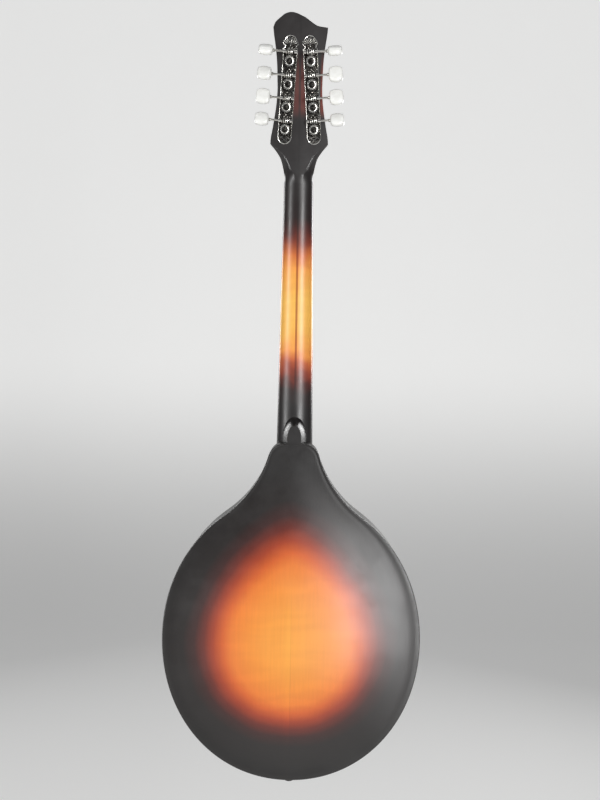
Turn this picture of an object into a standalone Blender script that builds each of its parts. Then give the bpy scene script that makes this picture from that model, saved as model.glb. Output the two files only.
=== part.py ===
"""An octave mandolin with a carved teardrop body, eight strings and geared tuners.

Metres, +Z up along the body, back towards -Y, bass side towards +X.
The origin is on the fretboard's top, at the edge of the nut where the scale starts.
"""

import math

import bmesh
import bpy
from mathutils import Matrix, Vector
from mathutils.bvhtree import BVHTree

# Clearances
GLUE_GAP = 0.0003
RUN_GAP = 0.0001
BAR_GAP = 0.0006
STRING_GAP = 0.0003
COIL_GAP = 0.0006

# Scale and neck
SCALE_LENGTH = 0.578
JOINT_FRET = 13
FRET_COUNT = 21
NECK_TILT = 4.5
HEAD_TILT = 14.0
NUT_WIDTH = 0.0352
JOINT_WIDTH = 0.0440
BOARD_THICK = 0.0060
BOARD_TAIL = 0.0045
FRET_HEIGHT = 0.0011
FRET_CROWN = 0.0010
FRET_FOOT = 0.0024
NECK_DEPTH_NUT = 0.0158
NECK_DEPTH_JOINT = 0.0178
NECK_LIP = 0.0020
NECK_FLUSH = 0.0002
HEEL_LENGTH = 0.0400
HEEL_CAP_LENGTH = 0.0205
HEEL_CAP_HALF = 0.0082
HEEL_TOP_HALF = 0.0170
HEEL_SHOULDER = 0.25
HEEL_SWEEP = 2.2
TENON_HALF = 0.0070
TENON_LENGTH = 0.0160
TONGUE_CLEAR = 0.0010

# Nut
NUT_THICK = 0.0050
NUT_HEIGHT = 0.0027
STRING_RISE_NUT = 0.0021
STRING_RISE_BRIDGE = 0.0055

# Body outline, half widths and heights; the drops are measured down from the neck end
BODY_LENGTH = 0.3862
BOUT_HALF_WIDTH = 0.1482
BOUT_HEIGHT = 0.1621
SHOULDER_HALF_WIDTH = 0.0795
SHOULDER_DROP = 0.0838
SHOULDER_HEADING = 144.3
COLLAR_HALF_WIDTH = 0.0292
COLLAR_DROP = 0.0131
COLLAR_HEADING = 106.5
CROWN_HALF_WIDTH = 0.0117
TAIL_PULL = 0.0862
BOUT_PULL_LOW = 0.0914
BOUT_PULL_HIGH = 0.0559
SHOULDER_PULL_LOW = 0.0556
SHOULDER_PULL_HIGH = 0.0295
COLLAR_PULL_LOW = 0.0299
COLLAR_PULL_HIGH = 0.0081
CROWN_PULL = 0.0081

# Body shell
BODY_DEPTH = 0.0469
BOARD_ABOVE_RIM = 0.0119
RIB_THICK = 0.0022
PLATE_EDGE = 0.0036
PLATE_SKIN = 0.0042
TOP_ARCH = 0.0170
BACK_ARCH = 0.0150
ARCH_CENTRE = 0.1400
ARCH_SPINE = 0.90
RECURVE_DEPTH = 0.0008
BUTTON_SINK = 0.0008
LINING_WIDTH = 0.0060
LINING_DEPTH = 0.0090
LINING_FOOT = 0.0015
NECK_BLOCK_LENGTH = 0.0400
TAIL_BLOCK_HALF = 0.0320
TAIL_BLOCK_LENGTH = 0.0220
TONE_BAR_WIDTH = 0.0070
TONE_BAR_DEPTH = 0.0120
TONE_BAR_TIP = 0.0036
TONE_BAR_LOW = 0.0500
TONE_BAR_HIGH = 0.2350
TONE_BAR_SPREAD_LOW = 0.0360
TONE_BAR_SPREAD_HIGH = 0.0200

# Sound holes, measured from their middle: outwards from the body's centre line, and up
HOLE_OFFSET = 0.0640
HOLE_LEAN = 7.0
HOLE_EYES = ((-0.0075, 0.0420, 0.0042), (0.0090, -0.0430, 0.0056))
HOLE_SPINE = (
    (-0.0075, 0.0420),
    (-0.0065, 0.0480),
    (-0.0010, 0.0500),
    (0.0035, 0.0440),
    (0.0030, 0.0250),
    (0.0, 0.0),
    (-0.0030, -0.0250),
    (-0.0030, -0.0440),
    (0.0020, -0.0505),
    (0.0080, -0.0480),
    (0.0090, -0.0430),
)
HOLE_STEM = 0.0021
HOLE_THROAT = 0.0009
HOLE_STEPS = 20

# Headstock
HEAD_THICK = 0.0145
VENEER_THICK = 0.0016
HEAD_CHAMFER = 0.0005
EAR_HEIGHT = 0.0425
EAR_HALF = 0.0332
CORNER_HEIGHT = 0.1600
CORNER_HALF = 0.0298
PEAK_HEIGHT = 0.1743
RIDGE_NUT = 0.0050

# Truss rod
ROD_RADIUS = 0.0025
ROD_DROP = 0.0050
ROD_LENGTH = 0.2800
ROD_THREAD = 0.0125
ROD_NUT_RADIUS = 0.0036
ROD_NUT_START = 0.0040
ROD_NUT_LENGTH = 0.0090
POCKET_HALF = 0.0040
POCKET_END = 0.0240
COVER_START = 0.0010
COVER_LENGTH = 0.0330
COVER_HALF = 0.0105
COVER_FOOT_HALF = 0.0084
COVER_WAIST = 0.0053
COVER_THICK = 0.0018

# Tuners
TUNER_PITCH = 0.0230
TUNER_PLACE = 0.1007
TUNER_OFFSET = 0.0135
TUNER_SPLAY = 3.9
STRIP_LENGTH = 0.1100
STRIP_HALF = 0.0080
STRIP_THICK = 0.0012
STRIP_SHIFT = -0.0035
SHAFT_RADIUS = 0.0016
STEM_RADIUS = 0.0011
SHAFT_HEIGHT = 0.0042
WORM_RADIUS = 0.0031
WORM_ROOT = 0.0024
WORM_HALF = 0.0048
WORM_CRESTS = 4
LUG_THICK = 0.0013
LUG_HALF = 0.0025
LUG_CROWN = 0.0010
LUG_GAP = 0.0004
GEAR_TEETH = 14
GEAR_RADIUS = 0.0057
GEAR_ROOT = 0.0049
GEAR_THICK = 0.0030
GEAR_MESH = 0.0002
POST_RADIUS = 0.0030
POST_WAIST = 0.0026
POST_HEIGHT = 0.0125
POST_WAIST_LOW = 0.0028
POST_WAIST_HIGH = 0.0095
BUSH_CLEAR = 0.0006
KNOB_START = 0.0190
KNOB_LENGTH = 0.0158
KNOB_HALF_WIDTH = 0.0091
KNOB_HALF_THICK = 0.0043
KNOB_SHAPE = (
    (0.0, 0.6, 0.7),
    (0.1, 0.84, 0.95),
    (0.36, 1.0, 1.0),
    (0.68, 0.98, 0.98),
    (0.9, 0.8, 0.86),
    (1.0, 0.5, 0.5),
)
TANG_RADIUS = 0.0009
TANG_LENGTH = 0.0080
FERRULE_RADIUS = 0.0018
FERRULE_LENGTH = 0.0016
KNOB_TURNS = {1: (-47.0, -29.0, -27.0, -63.0), -1: (45.0, 29.0, 44.0, 60.0)}

# Bridge
BRIDGE_BACKSET = 0.0025
BRIDGE_HALF = 0.0580
BASE_HALF_WIDTH = 0.0058
BASE_TIP = 0.0035
FOOT_GAP_HALF = 0.0200
FOOT_GAP_RISE = 0.0022
STUD_OFFSET = 0.0330
STUD_RADIUS = 0.0020
STUD_REACH = 0.0022
WHEEL_RADIUS = 0.0075
WHEEL_THICK = 0.0026
WHEEL_ROOM = 0.0030
SADDLE_HALF = 0.0560
SADDLE_HEIGHT = 0.0086
SADDLE_FOOT_HALF = 0.0038
SADDLE_SHOULDER_HALF = 0.0013
SADDLE_SHOULDER_DROP = 0.0008
SADDLE_CREST_HALF = 0.0005
SADDLE_BORE = 0.0052

# Tailpiece
TAIL_SHEET = 0.0012
TAIL_LIFT = 0.0016
TAIL_HALF = 0.0190
TAIL_LENGTH = 0.0600
TAIL_FLANGE = 0.0330
HOOK_ROW_LOW = 0.0180
HOOK_ROW_HIGH = 0.0240
HOOK_RADIUS = 0.0013
HOOK_HEIGHT = 0.0050
HOOK_SPAN = 0.0290
STRING_OVER_PLATE = 0.0030
COVER_SHEET = 0.0010
COVER_SIDE_GAP = 0.0004
COVER_TOP = 0.0075
COVER_SKIRT = 0.0004
COVER_TAIL = 0.0060
COVER_MOUTH = 0.0600
PIN_RADIUS = 0.0032
PIN_HEAD = 0.0070
PIN_NECK = 0.0042
PIN_LENGTH = 0.0100
PIN_SHANK = 0.0160

# Strings, in four courses of two
STRING_EDGE = 0.0030
PAIR_NUT = 0.0024
PAIR_BRIDGE = 0.0026
OUTER_SPREAD_BRIDGE = 0.0460
INNER_SPREAD_BRIDGE = 0.0166
STRING_RADII = {"G": 0.00058, "D": 0.00043, "A": 0.00028, "E": 0.00017}
COIL_TURNS = 1.75
COIL_STEPS = 10
COIL_START = 0.0034

# Fineness
BOUT_STEPS = (9, 7, 4, 4)
SMOOTH_ANGLE = 35.0
ROUND_SIDES = 12
SMALL_SIDES = 8

OUTER_SHARES = (1.0, 0.965, 0.92, 0.84, 0.70, 0.52, 0.32, 0.12)
INNER_SHARES = (1.0, 0.90, 0.70, 0.46, 0.18)
ARCH_REACH = 0.92
ARCH_POWER = 1.7
ARCH_FALL = 1.5
RECURVE_START = 0.86


def fret_distance(number):
    """Distance from the nut to a fret along the scale."""
    return SCALE_LENGTH * (1 - 2 ** (-number / 12))


NECK_LENGTH = fret_distance(JOINT_FRET)
NECK_ANGLE = math.radians(NECK_TILT)
HEAD_ANGLE = math.radians(HEAD_TILT)
JOINT_Z = -NECK_LENGTH * math.cos(NECK_ANGLE)
JOINT_Y = NECK_LENGTH * math.sin(NECK_ANGLE)
BODY_BOTTOM = JOINT_Z - BODY_LENGTH
FRONT_RIM = JOINT_Y - BOARD_ABOVE_RIM
BACK_RIM = FRONT_RIM - BODY_DEPTH
RIB_FRONT = FRONT_RIM - PLATE_EDGE - GLUE_GAP
RIB_BACK = BACK_RIM + PLATE_EDGE + GLUE_GAP
NECK_FACE = -BOARD_THICK - GLUE_GAP
VENEER_FRONT = GLUE_GAP + VENEER_THICK
WORM_HEIGHT = STRIP_THICK + SHAFT_HEIGHT
GEAR_OFFSET = GEAR_RADIUS + WORM_RADIUS + GEAR_MESH
LUG_INNER = WORM_HALF + LUG_GAP
STRIP_BACK = -HEAD_THICK - GLUE_GAP
HEAD_FRONT = HEAD_THICK + GLUE_GAP + VENEER_FRONT
NECK_FRAME = Matrix.Rotation(NECK_ANGLE, 4, "X")
HEAD_LOCAL = Matrix.Translation((0, NECK_FACE, NUT_THICK)) @ Matrix.Rotation(HEAD_ANGLE, 4, "X")
HEAD_FRAME = NECK_FRAME @ HEAD_LOCAL
SADDLE_POINT = NECK_FRAME @ Vector((0, STRING_RISE_BRIDGE, -SCALE_LENGTH - BRIDGE_BACKSET))
PIN_Y = (FRONT_RIM + BACK_RIM) / 2
TAIL_HINGE = Vector((0, FRONT_RIM + TAIL_LIFT, BODY_BOTTOM - GLUE_GAP - TAIL_SHEET))


def tail_angle():
    """Slope that lays the tailpiece parallel to the strings above it."""
    reach = SADDLE_POINT - TAIL_HINGE
    height = TAIL_SHEET + STRING_OVER_PLATE
    return math.atan2(reach.y, reach.z) - math.asin(height / reach.length)


TAIL_ANGLE = tail_angle()
TAIL_FRAME = Matrix.Translation(TAIL_HINGE) @ Matrix.Rotation(-TAIL_ANGLE, 4, "X")


def clear_scene():
    """Remove whatever the scene holds."""
    for obj in list(bpy.data.objects):
        bpy.data.objects.remove(obj, do_unlink=True)


def material(name, colour, roughness, metallic=0.0):
    """Return a plain Principled finish."""
    finish = bpy.data.materials.new(name)
    finish.use_nodes = True
    shader = finish.node_tree.nodes["Principled BSDF"]
    shader.inputs["Base Color"].default_value = (*colour, 1.0)
    shader.inputs["Roughness"].default_value = roughness
    shader.inputs["Metallic"].default_value = metallic
    return finish


def place(name, data, finish, parent=None, location=(0, 0, 0), rotation=(0, 0, 0)):
    """Put a mesh or curve in the scene as a named piece."""
    obj = bpy.data.objects.new(name, data)
    bpy.context.scene.collection.objects.link(obj)
    if finish is not None:
        data.materials.append(finish)
    obj.parent = parent
    obj.location = location
    obj.rotation_euler = rotation
    return obj


def axes(name, location=(0, 0, 0), rotation=(0, 0, 0), parent=None):
    """Add an empty that carries pieces."""
    return place(name, None, None, parent, location, rotation)


def to_mesh(builder, name):
    """Turn faces outwards and round pieces smooth."""
    bmesh.ops.recalc_face_normals(builder, faces=builder.faces)
    mesh = bpy.data.meshes.new(name)
    builder.to_mesh(mesh)
    builder.free()
    mesh.shade_smooth()
    mesh.set_sharp_from_angle(angle=math.radians(SMOOTH_ANGLE))
    return mesh


def add_rings(builder, rings, close=True):
    """Skin equal rings of points in order, with flat ends."""
    rows = [[builder.verts.new(point) for point in ring] for ring in rings]
    for near, far in zip(rows, rows[1:]):
        for index, corner in enumerate(near):
            after = (index + 1) % len(near)
            builder.faces.new((corner, near[after], far[after], far[index]))
    if close:
        builder.faces.new(rows[0])
        builder.faces.new(list(reversed(rows[-1])))
    return rows


def ring_mesh(name, rings):
    """Mesh of one run of rings."""
    builder = bmesh.new()
    add_rings(builder, rings)
    return to_mesh(builder, name)


def group_mesh(name, runs):
    """Mesh of several separate runs of rings."""
    builder = bmesh.new()
    for rings in runs:
        add_rings(builder, rings)
    return to_mesh(builder, name)


def prism_rings(outline, low, high):
    """Two rings that stretch an outline in X and Z along Y."""
    return [[(x, y, z) for x, z in outline] for y in (low, high)]


def box_rings(low, high):
    """Two rings of a plain block."""
    corners = ((low[0], low[2]), (high[0], low[2]), (high[0], high[2]), (low[0], high[2]))
    return prism_rings(corners, low[1], high[1])


def circle(radius, sides, phase=0.0):
    """Points of a circle about the origin."""
    steps = [phase + 2 * math.pi * step / sides for step in range(sides)]
    return [(radius * math.cos(angle), radius * math.sin(angle)) for angle in steps]


def turned_rings(profile, sides, axis):
    """Rings of a turned piece, from its heights and radii along an axis."""
    rings = []
    for height, radius in profile:
        points = circle(radius, sides)
        if axis == "X":
            rings.append([(height, a, b) for a, b in points])
        elif axis == "Y":
            rings.append([(a, height, b) for a, b in points])
        else:
            rings.append([(a, b, height) for a, b in points])
    return rings


def moved(rings, offset):
    """Shift every point of some rings."""
    shift = Vector(offset)
    return [[Vector(point) + shift for point in ring] for ring in rings]


def bore(radius, clearance, sides):
    """Corner radius of a faceted hole that clears a shaft."""
    return (radius + clearance) / math.cos(math.pi / sides)


def shape(target, tool, operation="DIFFERENCE"):
    """Cut a piece with a hidden tool, or join the tool to it."""
    tool.hide_render = True
    tool.display_type = "WIRE"
    step = target.modifiers.new(tool.name, "BOOLEAN")
    step.operation = operation
    step.solver = "EXACT"
    step.object = tool


def smooth_value(points, place_at):
    """Read a smooth curve through a few (place, value) points."""
    if place_at <= points[0][0]:
        return points[0][1]
    for index in range(len(points) - 1):
        start, end = points[index], points[index + 1]
        if place_at > end[0]:
            continue
        before = points[max(index - 1, 0)]
        after = points[min(index + 2, len(points) - 1)]
        width = end[0] - start[0]
        lead = (end[1] - before[1]) / (end[0] - before[0]) * width
        trail = (after[1] - start[1]) / (after[0] - start[0]) * width
        t = (place_at - start[0]) / width
        curve = start[1] * (2 * t**3 - 3 * t**2 + 1) + end[1] * (3 * t**2 - 2 * t**3)
        return curve + lead * (t**3 - 2 * t**2 + t) + trail * (t**3 - t**2)
    return points[-1][1]


# Body


def outline_stretches():
    """Four curved stretches of half the outline: ends, headings and pulls."""
    shoulder = (SHOULDER_HALF_WIDTH, BODY_LENGTH - SHOULDER_DROP)
    collar = (COLLAR_HALF_WIDTH, BODY_LENGTH - COLLAR_DROP)
    tail = (0.0, 0.0)
    bout = (BOUT_HALF_WIDTH, BOUT_HEIGHT)
    crown = (CROWN_HALF_WIDTH, BODY_LENGTH)
    return (
        (tail, 0.0, TAIL_PULL, bout, 90.0, BOUT_PULL_LOW),
        (bout, 90.0, BOUT_PULL_HIGH, shoulder, SHOULDER_HEADING, SHOULDER_PULL_LOW),
        (shoulder, SHOULDER_HEADING, SHOULDER_PULL_HIGH, collar, COLLAR_HEADING, COLLAR_PULL_LOW),
        (collar, COLLAR_HEADING, COLLAR_PULL_HIGH, crown, 180.0, CROWN_PULL),
    )


def half_outline():
    """Points of half the outline from the tail to the neck, each with its heading."""
    points = [(Vector((0.0, 0.0)), 0.0)]
    for stretch, steps in zip(outline_stretches(), BOUT_STEPS):
        start, leave, pull_out, end, arrive, pull_in = stretch
        first = Vector(start)
        last = Vector(end)
        out = Vector((math.cos(math.radians(leave)), math.sin(math.radians(leave)))) * pull_out
        into = Vector((math.cos(math.radians(arrive)), math.sin(math.radians(arrive)))) * pull_in
        for step in range(1, steps + 1):
            t = step / steps
            u = 1 - t
            spot = u**3 * first + 3 * u**2 * t * (first + out) + 3 * u * t**2 * (last - into)
            spot += t**3 * last
            speed = u**2 * out + 2 * u * t * (last - into - first - out) + t**2 * into
            points.append((spot, math.atan2(speed.y, speed.x)))
    return points


HALF_OUTLINE = half_outline()


def inset_point(entry, inset):
    """A point of the outline moved inwards, square to it."""
    spot, heading = entry
    return spot + Vector((-math.sin(heading), math.cos(heading))) * inset


def body_loop(inset=0.0):
    """The whole outline as (x, height above the tail)."""
    right = [inset_point(entry, inset) for entry in HALF_OUTLINE]
    left = [Vector((-spot.x, spot.y)) for spot in reversed(right[1:])]
    return right + left


BODY_LOOP = body_loop()


def crown_share(share):
    """Rise of a carved plate, as a share of its arch."""
    return max(0.0, 1 - (share / ARCH_REACH) ** 2) ** ARCH_POWER


def outer_rise(share, arch):
    """Outer height of a carved plate above its edge."""
    dip = 0.0
    if share > RECURVE_START:
        dip = RECURVE_DEPTH * math.sin(math.pi * (share - RECURVE_START) / (1 - RECURVE_START)) ** 2
    return arch * crown_share(share) - dip


def inner_rise(share, arch):
    """Inner height of a carved plate; it is flat where it is glued."""
    if share >= INNER_SHARES[1]:
        return -PLATE_EDGE
    return max(-PLATE_EDGE, arch * crown_share(share) - PLATE_SKIN)


def spine_point(spot):
    """The point on the plate's centre line that the arch runs down from to an outline point."""
    climb = max(0.0, spot.y - ARCH_CENTRE) * ARCH_SPINE
    return Vector((0.0, ARCH_CENTRE + climb))


def local_arch(spot, arch):
    """Arch height beside an outline point: it sinks as the body narrows to the neck."""
    if spot.y <= BOUT_HEIGHT:
        return arch
    return arch * (max(abs(spot.x), CROWN_HALF_WIDTH) / BOUT_HALF_WIDTH) ** ARCH_FALL


def plate_ring(share, rule, rim, facing, arch):
    """One ring of a carved plate, at a share of the way out to its outline."""
    ring = []
    for spot in BODY_LOOP:
        heart = spine_point(spot)
        place_at = heart + (spot - heart) * share
        rise = rule(share, local_arch(spot, arch))
        ring.append(Vector((place_at.x, rim + facing * rise, BODY_BOTTOM + place_at.y)))
    return ring


def close_across(builder, row):
    """Close a symmetric ring, which starts at its lowest point, with faces from side to side."""
    builder.faces.new((row[0], row[1], row[-1]))
    for index in range(1, len(row) // 2):
        builder.faces.new((row[index], row[index + 1], row[-index - 1], row[-index]))


def plate_mesh(name, rim, facing, arch):
    """A carved plate: arched outside, hollowed inside and flat at its glued edge."""
    outer = [plate_ring(share, outer_rise, rim, facing, arch) for share in reversed(OUTER_SHARES)]
    inner = [plate_ring(share, inner_rise, rim, facing, arch) for share in INNER_SHARES]
    builder = bmesh.new()
    rows = add_rings(builder, outer + inner, close=False)
    close_across(builder, rows[0])
    close_across(builder, rows[-1])
    return to_mesh(builder, name)


def surface_tree(shares, rule, arch):
    """A lookup of the top's outer or inner surface."""
    builder = bmesh.new()
    rings = [plate_ring(share, rule, FRONT_RIM, 1, arch) for share in shares]
    rows = add_rings(builder, rings, close=False)
    close_across(builder, rows[-1])
    tree = BVHTree.FromBMesh(builder)
    builder.free()
    return tree


def surface_at(tree, x, height):
    """Height of a surface above a place on the body."""
    hit = tree.ray_cast(Vector((x, FRONT_RIM + BODY_DEPTH, BODY_BOTTOM + height)), Vector((0, -1, 0)))
    return hit[0].y


def leaning_point(side, x, y):
    """A place of a sound hole, leant with the body's side, in the body's frame."""
    lean = math.radians(HOLE_LEAN)
    across = HOLE_OFFSET + x * math.cos(lean) - y * math.sin(lean)
    up = x * math.sin(lean) + y * math.cos(lean)
    return side * across, SADDLE_POINT.z + up


def sound_hole_stem(side):
    """The slender scroll between the two eyes of a sound hole."""
    last = len(HOLE_SPINE) - 1
    across = [(index / last, point[0]) for index, point in enumerate(HOLE_SPINE)]
    up = [(index / last, point[1]) for index, point in enumerate(HOLE_SPINE)]
    spine = []
    for step in range(HOLE_STEPS + 1):
        part = step / HOLE_STEPS
        spine.append(Vector((smooth_value(across, part), smooth_value(up, part))))
    left, right = [], []
    for index, spot in enumerate(spine):
        ahead = spine[min(index + 1, HOLE_STEPS)] - spine[max(index - 1, 0)]
        end = abs(2 * index / HOLE_STEPS - 1)
        half = HOLE_THROAT + (HOLE_STEM - HOLE_THROAT) * (1 - end**2)
        square = Vector((-ahead.y, ahead.x)).normalized() * half
        left.append(spot + square)
        right.append(spot - square)
    return [leaning_point(side, spot.x, spot.y) for spot in left + list(reversed(right))]


def build_soundboard(finish):
    """The carved top with its two sound holes."""
    board = place("soundboard", plate_mesh("soundboard", FRONT_RIM, 1, TOP_ARCH), finish)
    low = FRONT_RIM - TOP_ARCH
    high = FRONT_RIM + TOP_ARCH * 2
    stems, eyes = [], []
    for side in (1, -1):
        stems.append(prism_rings(sound_hole_stem(side), low, high))
        for x, y, radius in HOLE_EYES:
            spot = leaning_point(side, x, y)
            rings = turned_rings(((low, radius), (high, radius)), ROUND_SIDES, "Y")
            eyes.append(moved(rings, (spot[0], 0, spot[1])))
    shape(board, place("hole_stem_cutter", group_mesh("hole_stem_cutter", stems), None))
    shape(board, place("hole_eye_cutter", group_mesh("hole_eye_cutter", eyes), None))


def heel_arch(half, height, base, steps=6):
    """A pointed-arch outline that stands on a base line."""
    shoulder = base + (height - base) * HEEL_SHOULDER
    right = [(half, base)]
    for step in range(steps):
        angle = math.pi / 2 * step / (steps - 1)
        right.append((half * math.cos(angle) ** 0.8, shoulder + (height - shoulder) * math.sin(angle)))
    left = [(-x, z) for x, z in reversed(right[:-1])]
    return right + left


def build_back(finish):
    """The carved back, with the button that covers the heel."""
    back = place("back_plate", plate_mesh("back_plate", BACK_RIM, -1, BACK_ARCH), finish)
    arch = heel_arch(HEEL_CAP_HALF, JOINT_Z + HEEL_CAP_LENGTH, JOINT_Z - BUTTON_SINK)
    trim = GLUE_GAP / 4
    rings = prism_rings(arch, BACK_RIM + trim, BACK_RIM + PLATE_EDGE - trim)
    shape(back, place("button_form", ring_mesh("button_form", rings), None), "UNION")


def strip_rings(path, section, side):
    """Rings of a strip that follows the outline: section is (inset, y) pairs."""
    rings = []
    for entry in path:
        ring = []
        for inset, y in section:
            spot = inset_point(entry, inset)
            ring.append((side * spot.x, y, BODY_BOTTOM + spot.y))
        rings.append(ring)
    return rings


def build_rib(name, side, finish):
    """One bent rib from the tail's middle to the neck tenon."""
    start = (Vector((GLUE_GAP / 2, 0.0)), 0.0)
    end = (Vector((TENON_HALF + GLUE_GAP, BODY_LENGTH)), math.pi)
    path = [start] + HALF_OUTLINE[1:] + [end]
    section = ((0, RIB_FRONT), (0, RIB_BACK), (RIB_THICK, RIB_BACK), (RIB_THICK, RIB_FRONT))
    rib = place(name, ring_mesh(name, strip_rings(path, section, side)), finish)
    radius = bore(PIN_RADIUS, RUN_GAP, ROUND_SIDES)
    hole = turned_rings(((-RIB_THICK, radius), (2 * RIB_THICK, radius)), ROUND_SIDES, "Z")
    hole = moved(hole, (0, PIN_Y, BODY_BOTTOM))
    shape(rib, place(name + "_pin_cutter", ring_mesh(name + "_pin_cutter", hole), None))


def path_between(tail_x, neck_drop):
    """The stretch of half the outline from a half width at the tail to a drop below the neck."""
    top = BODY_LENGTH - neck_drop
    low, high = None, None
    path = []
    for before, after in zip(HALF_OUTLINE, HALF_OUTLINE[1:]):
        if low is None and after[0].x >= tail_x:
            low = mixed(before, after, (tail_x - before[0].x) / (after[0].x - before[0].x))
            path.append(low)
        if low is not None and high is None:
            if after[0].y >= top:
                high = mixed(before, after, (top - before[0].y) / (after[0].y - before[0].y))
                path.append(high)
            elif (after[0] - path[-1][0]).length > GLUE_GAP:
                path.append(after)
    return path


def mixed(before, after, part):
    """A place between two outline points."""
    return before[0].lerp(after[0], part), before[1] + (after[1] - before[1]) * part


def build_lining(name, side, front, finish):
    """A lining glued in the corner of rib and plate, between the two blocks."""
    path = path_between(TAIL_BLOCK_HALF + GLUE_GAP, NECK_BLOCK_LENGTH + GLUE_GAP)
    near = RIB_THICK + GLUE_GAP
    face = RIB_FRONT if front else RIB_BACK
    toe = face - LINING_DEPTH if front else face + LINING_DEPTH
    section = ((near, face), (near + LINING_WIDTH, face), (near + LINING_FOOT, toe), (near, toe))
    place(name, ring_mesh(name, strip_rings(path, section, side)), finish)


def mirrored_outline(right):
    """A closed outline from its right half, listed from the middle round."""
    return list(right) + [(-x, z) for x, z in reversed(right)]


def build_neck_block(finish):
    """The block that takes the neck's tenon."""
    near = RIB_THICK + GLUE_GAP
    cut = path_between(TAIL_BLOCK_HALF, NECK_BLOCK_LENGTH)[-1]
    right = [inset_point(cut, near + LINING_WIDTH + GLUE_GAP)]
    right.append(inset_point(cut, near))
    right += [inset_point(entry, near) for entry in HALF_OUTLINE if entry[0].y > cut[0].y + GLUE_GAP]
    slot = TENON_HALF + GLUE_GAP
    right.append(Vector((slot, BODY_LENGTH - near)))
    right.append(Vector((slot, BODY_LENGTH - TENON_LENGTH - GLUE_GAP)))
    outline = mirrored_outline([(spot.x, BODY_BOTTOM + spot.y) for spot in right])
    place("neck_block", ring_mesh("neck_block", prism_rings(outline, RIB_BACK, RIB_FRONT)), finish)


def build_tail_block(finish):
    """The block that the end pin is set in."""
    near = RIB_THICK + GLUE_GAP
    cut = path_between(TAIL_BLOCK_HALF, NECK_BLOCK_LENGTH)[0]
    right = [inset_point(entry, near) for entry in HALF_OUTLINE[1:] if entry[0].y < cut[0].y - GLUE_GAP / 2]
    right.append(inset_point(cut, near))
    right.append(inset_point(cut, near + TAIL_BLOCK_LENGTH))
    outline = mirrored_outline([(spot.x, BODY_BOTTOM + spot.y) for spot in right])
    name = "tail_block"
    block = place(name, ring_mesh(name, prism_rings(outline, RIB_BACK, RIB_FRONT)), finish)
    radius = bore(PIN_RADIUS, RUN_GAP, ROUND_SIDES)
    rings = turned_rings(((0, radius), (near + PIN_SHANK + GLUE_GAP, radius)), ROUND_SIDES, "Z")
    rings = moved(rings, (0, PIN_Y, BODY_BOTTOM))
    shape(block, place("tail_bore_cutter", ring_mesh("tail_bore_cutter", rings), None))


def build_tone_bar(name, side, finish, stations=10):
    """A brace under the top, shaped to the hollowed face."""
    rings = []
    tree = surface_tree(INNER_SHARES, inner_rise, TOP_ARCH)
    for step in range(stations):
        t = step / (stations - 1)
        height = TONE_BAR_LOW + (TONE_BAR_HIGH - TONE_BAR_LOW) * t
        x = TONE_BAR_SPREAD_LOW + (TONE_BAR_SPREAD_HIGH - TONE_BAR_SPREAD_LOW) * t
        edges = (x - TONE_BAR_WIDTH / 2, x + TONE_BAR_WIDTH / 2)
        tops = [surface_at(tree, edge, height) - BAR_GAP for edge in edges]
        depth = TONE_BAR_TIP + (TONE_BAR_DEPTH - TONE_BAR_TIP) * math.sin(math.pi * t)
        floor = min(tops) - depth
        z = BODY_BOTTOM + height
        corners = ((edges[0], tops[0]), (edges[1], tops[1]), (edges[1], floor), (edges[0], floor))
        rings.append([(side * across, y, z) for across, y in corners])
    place(name, ring_mesh(name, rings), finish)


# Neck and headstock


def board_half(z):
    """Half width of the fretboard at a place along the neck."""
    return NUT_WIDTH / 2 + (JOINT_WIDTH - NUT_WIDTH) / 2 * (-z / NECK_LENGTH)


def round_section(half, depth):
    """Half of a rounded neck section, from its front edge to its middle."""
    points = [(half, 0.0), (half, -NECK_LIP)]
    for angle in (20, 40, 58, 75, 90):
        turn = math.radians(angle)
        points.append((half * math.cos(turn), -NECK_LIP - (depth - NECK_LIP) * math.sin(turn)))
    return points


def ridged_section(half, side, ridge, depth):
    """Half of a section with straight sides, a cove and a flat between two ridges."""
    points = [(half, 0.0), (half, -side)]
    for part in (0.25, 0.5, 0.75):
        hollow = 0.12 * (half - ridge) * math.sin(math.pi * part)
        x = half + (ridge - half) * part - hollow
        points.append((x, -side - (depth - side) * part + hollow * 0.5))
    points += [(ridge, -depth), (0.0, -depth)]
    return points


def blended(first, second, part):
    """Mix two half sections point by point."""
    pairs = zip(first, second)
    return [(a[0] + (b[0] - a[0]) * part, a[1] + (b[1] - a[1]) * part) for a, b in pairs]


def full_ring(right, left, height, frame):
    """A closed ring from two half sections, placed in a frame."""
    points = [(x, y) for x, y in right] + [(-x, y) for x, y in reversed(left[:-1])]
    return [frame @ Vector((x, y, height)) for x, y in points]


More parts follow.
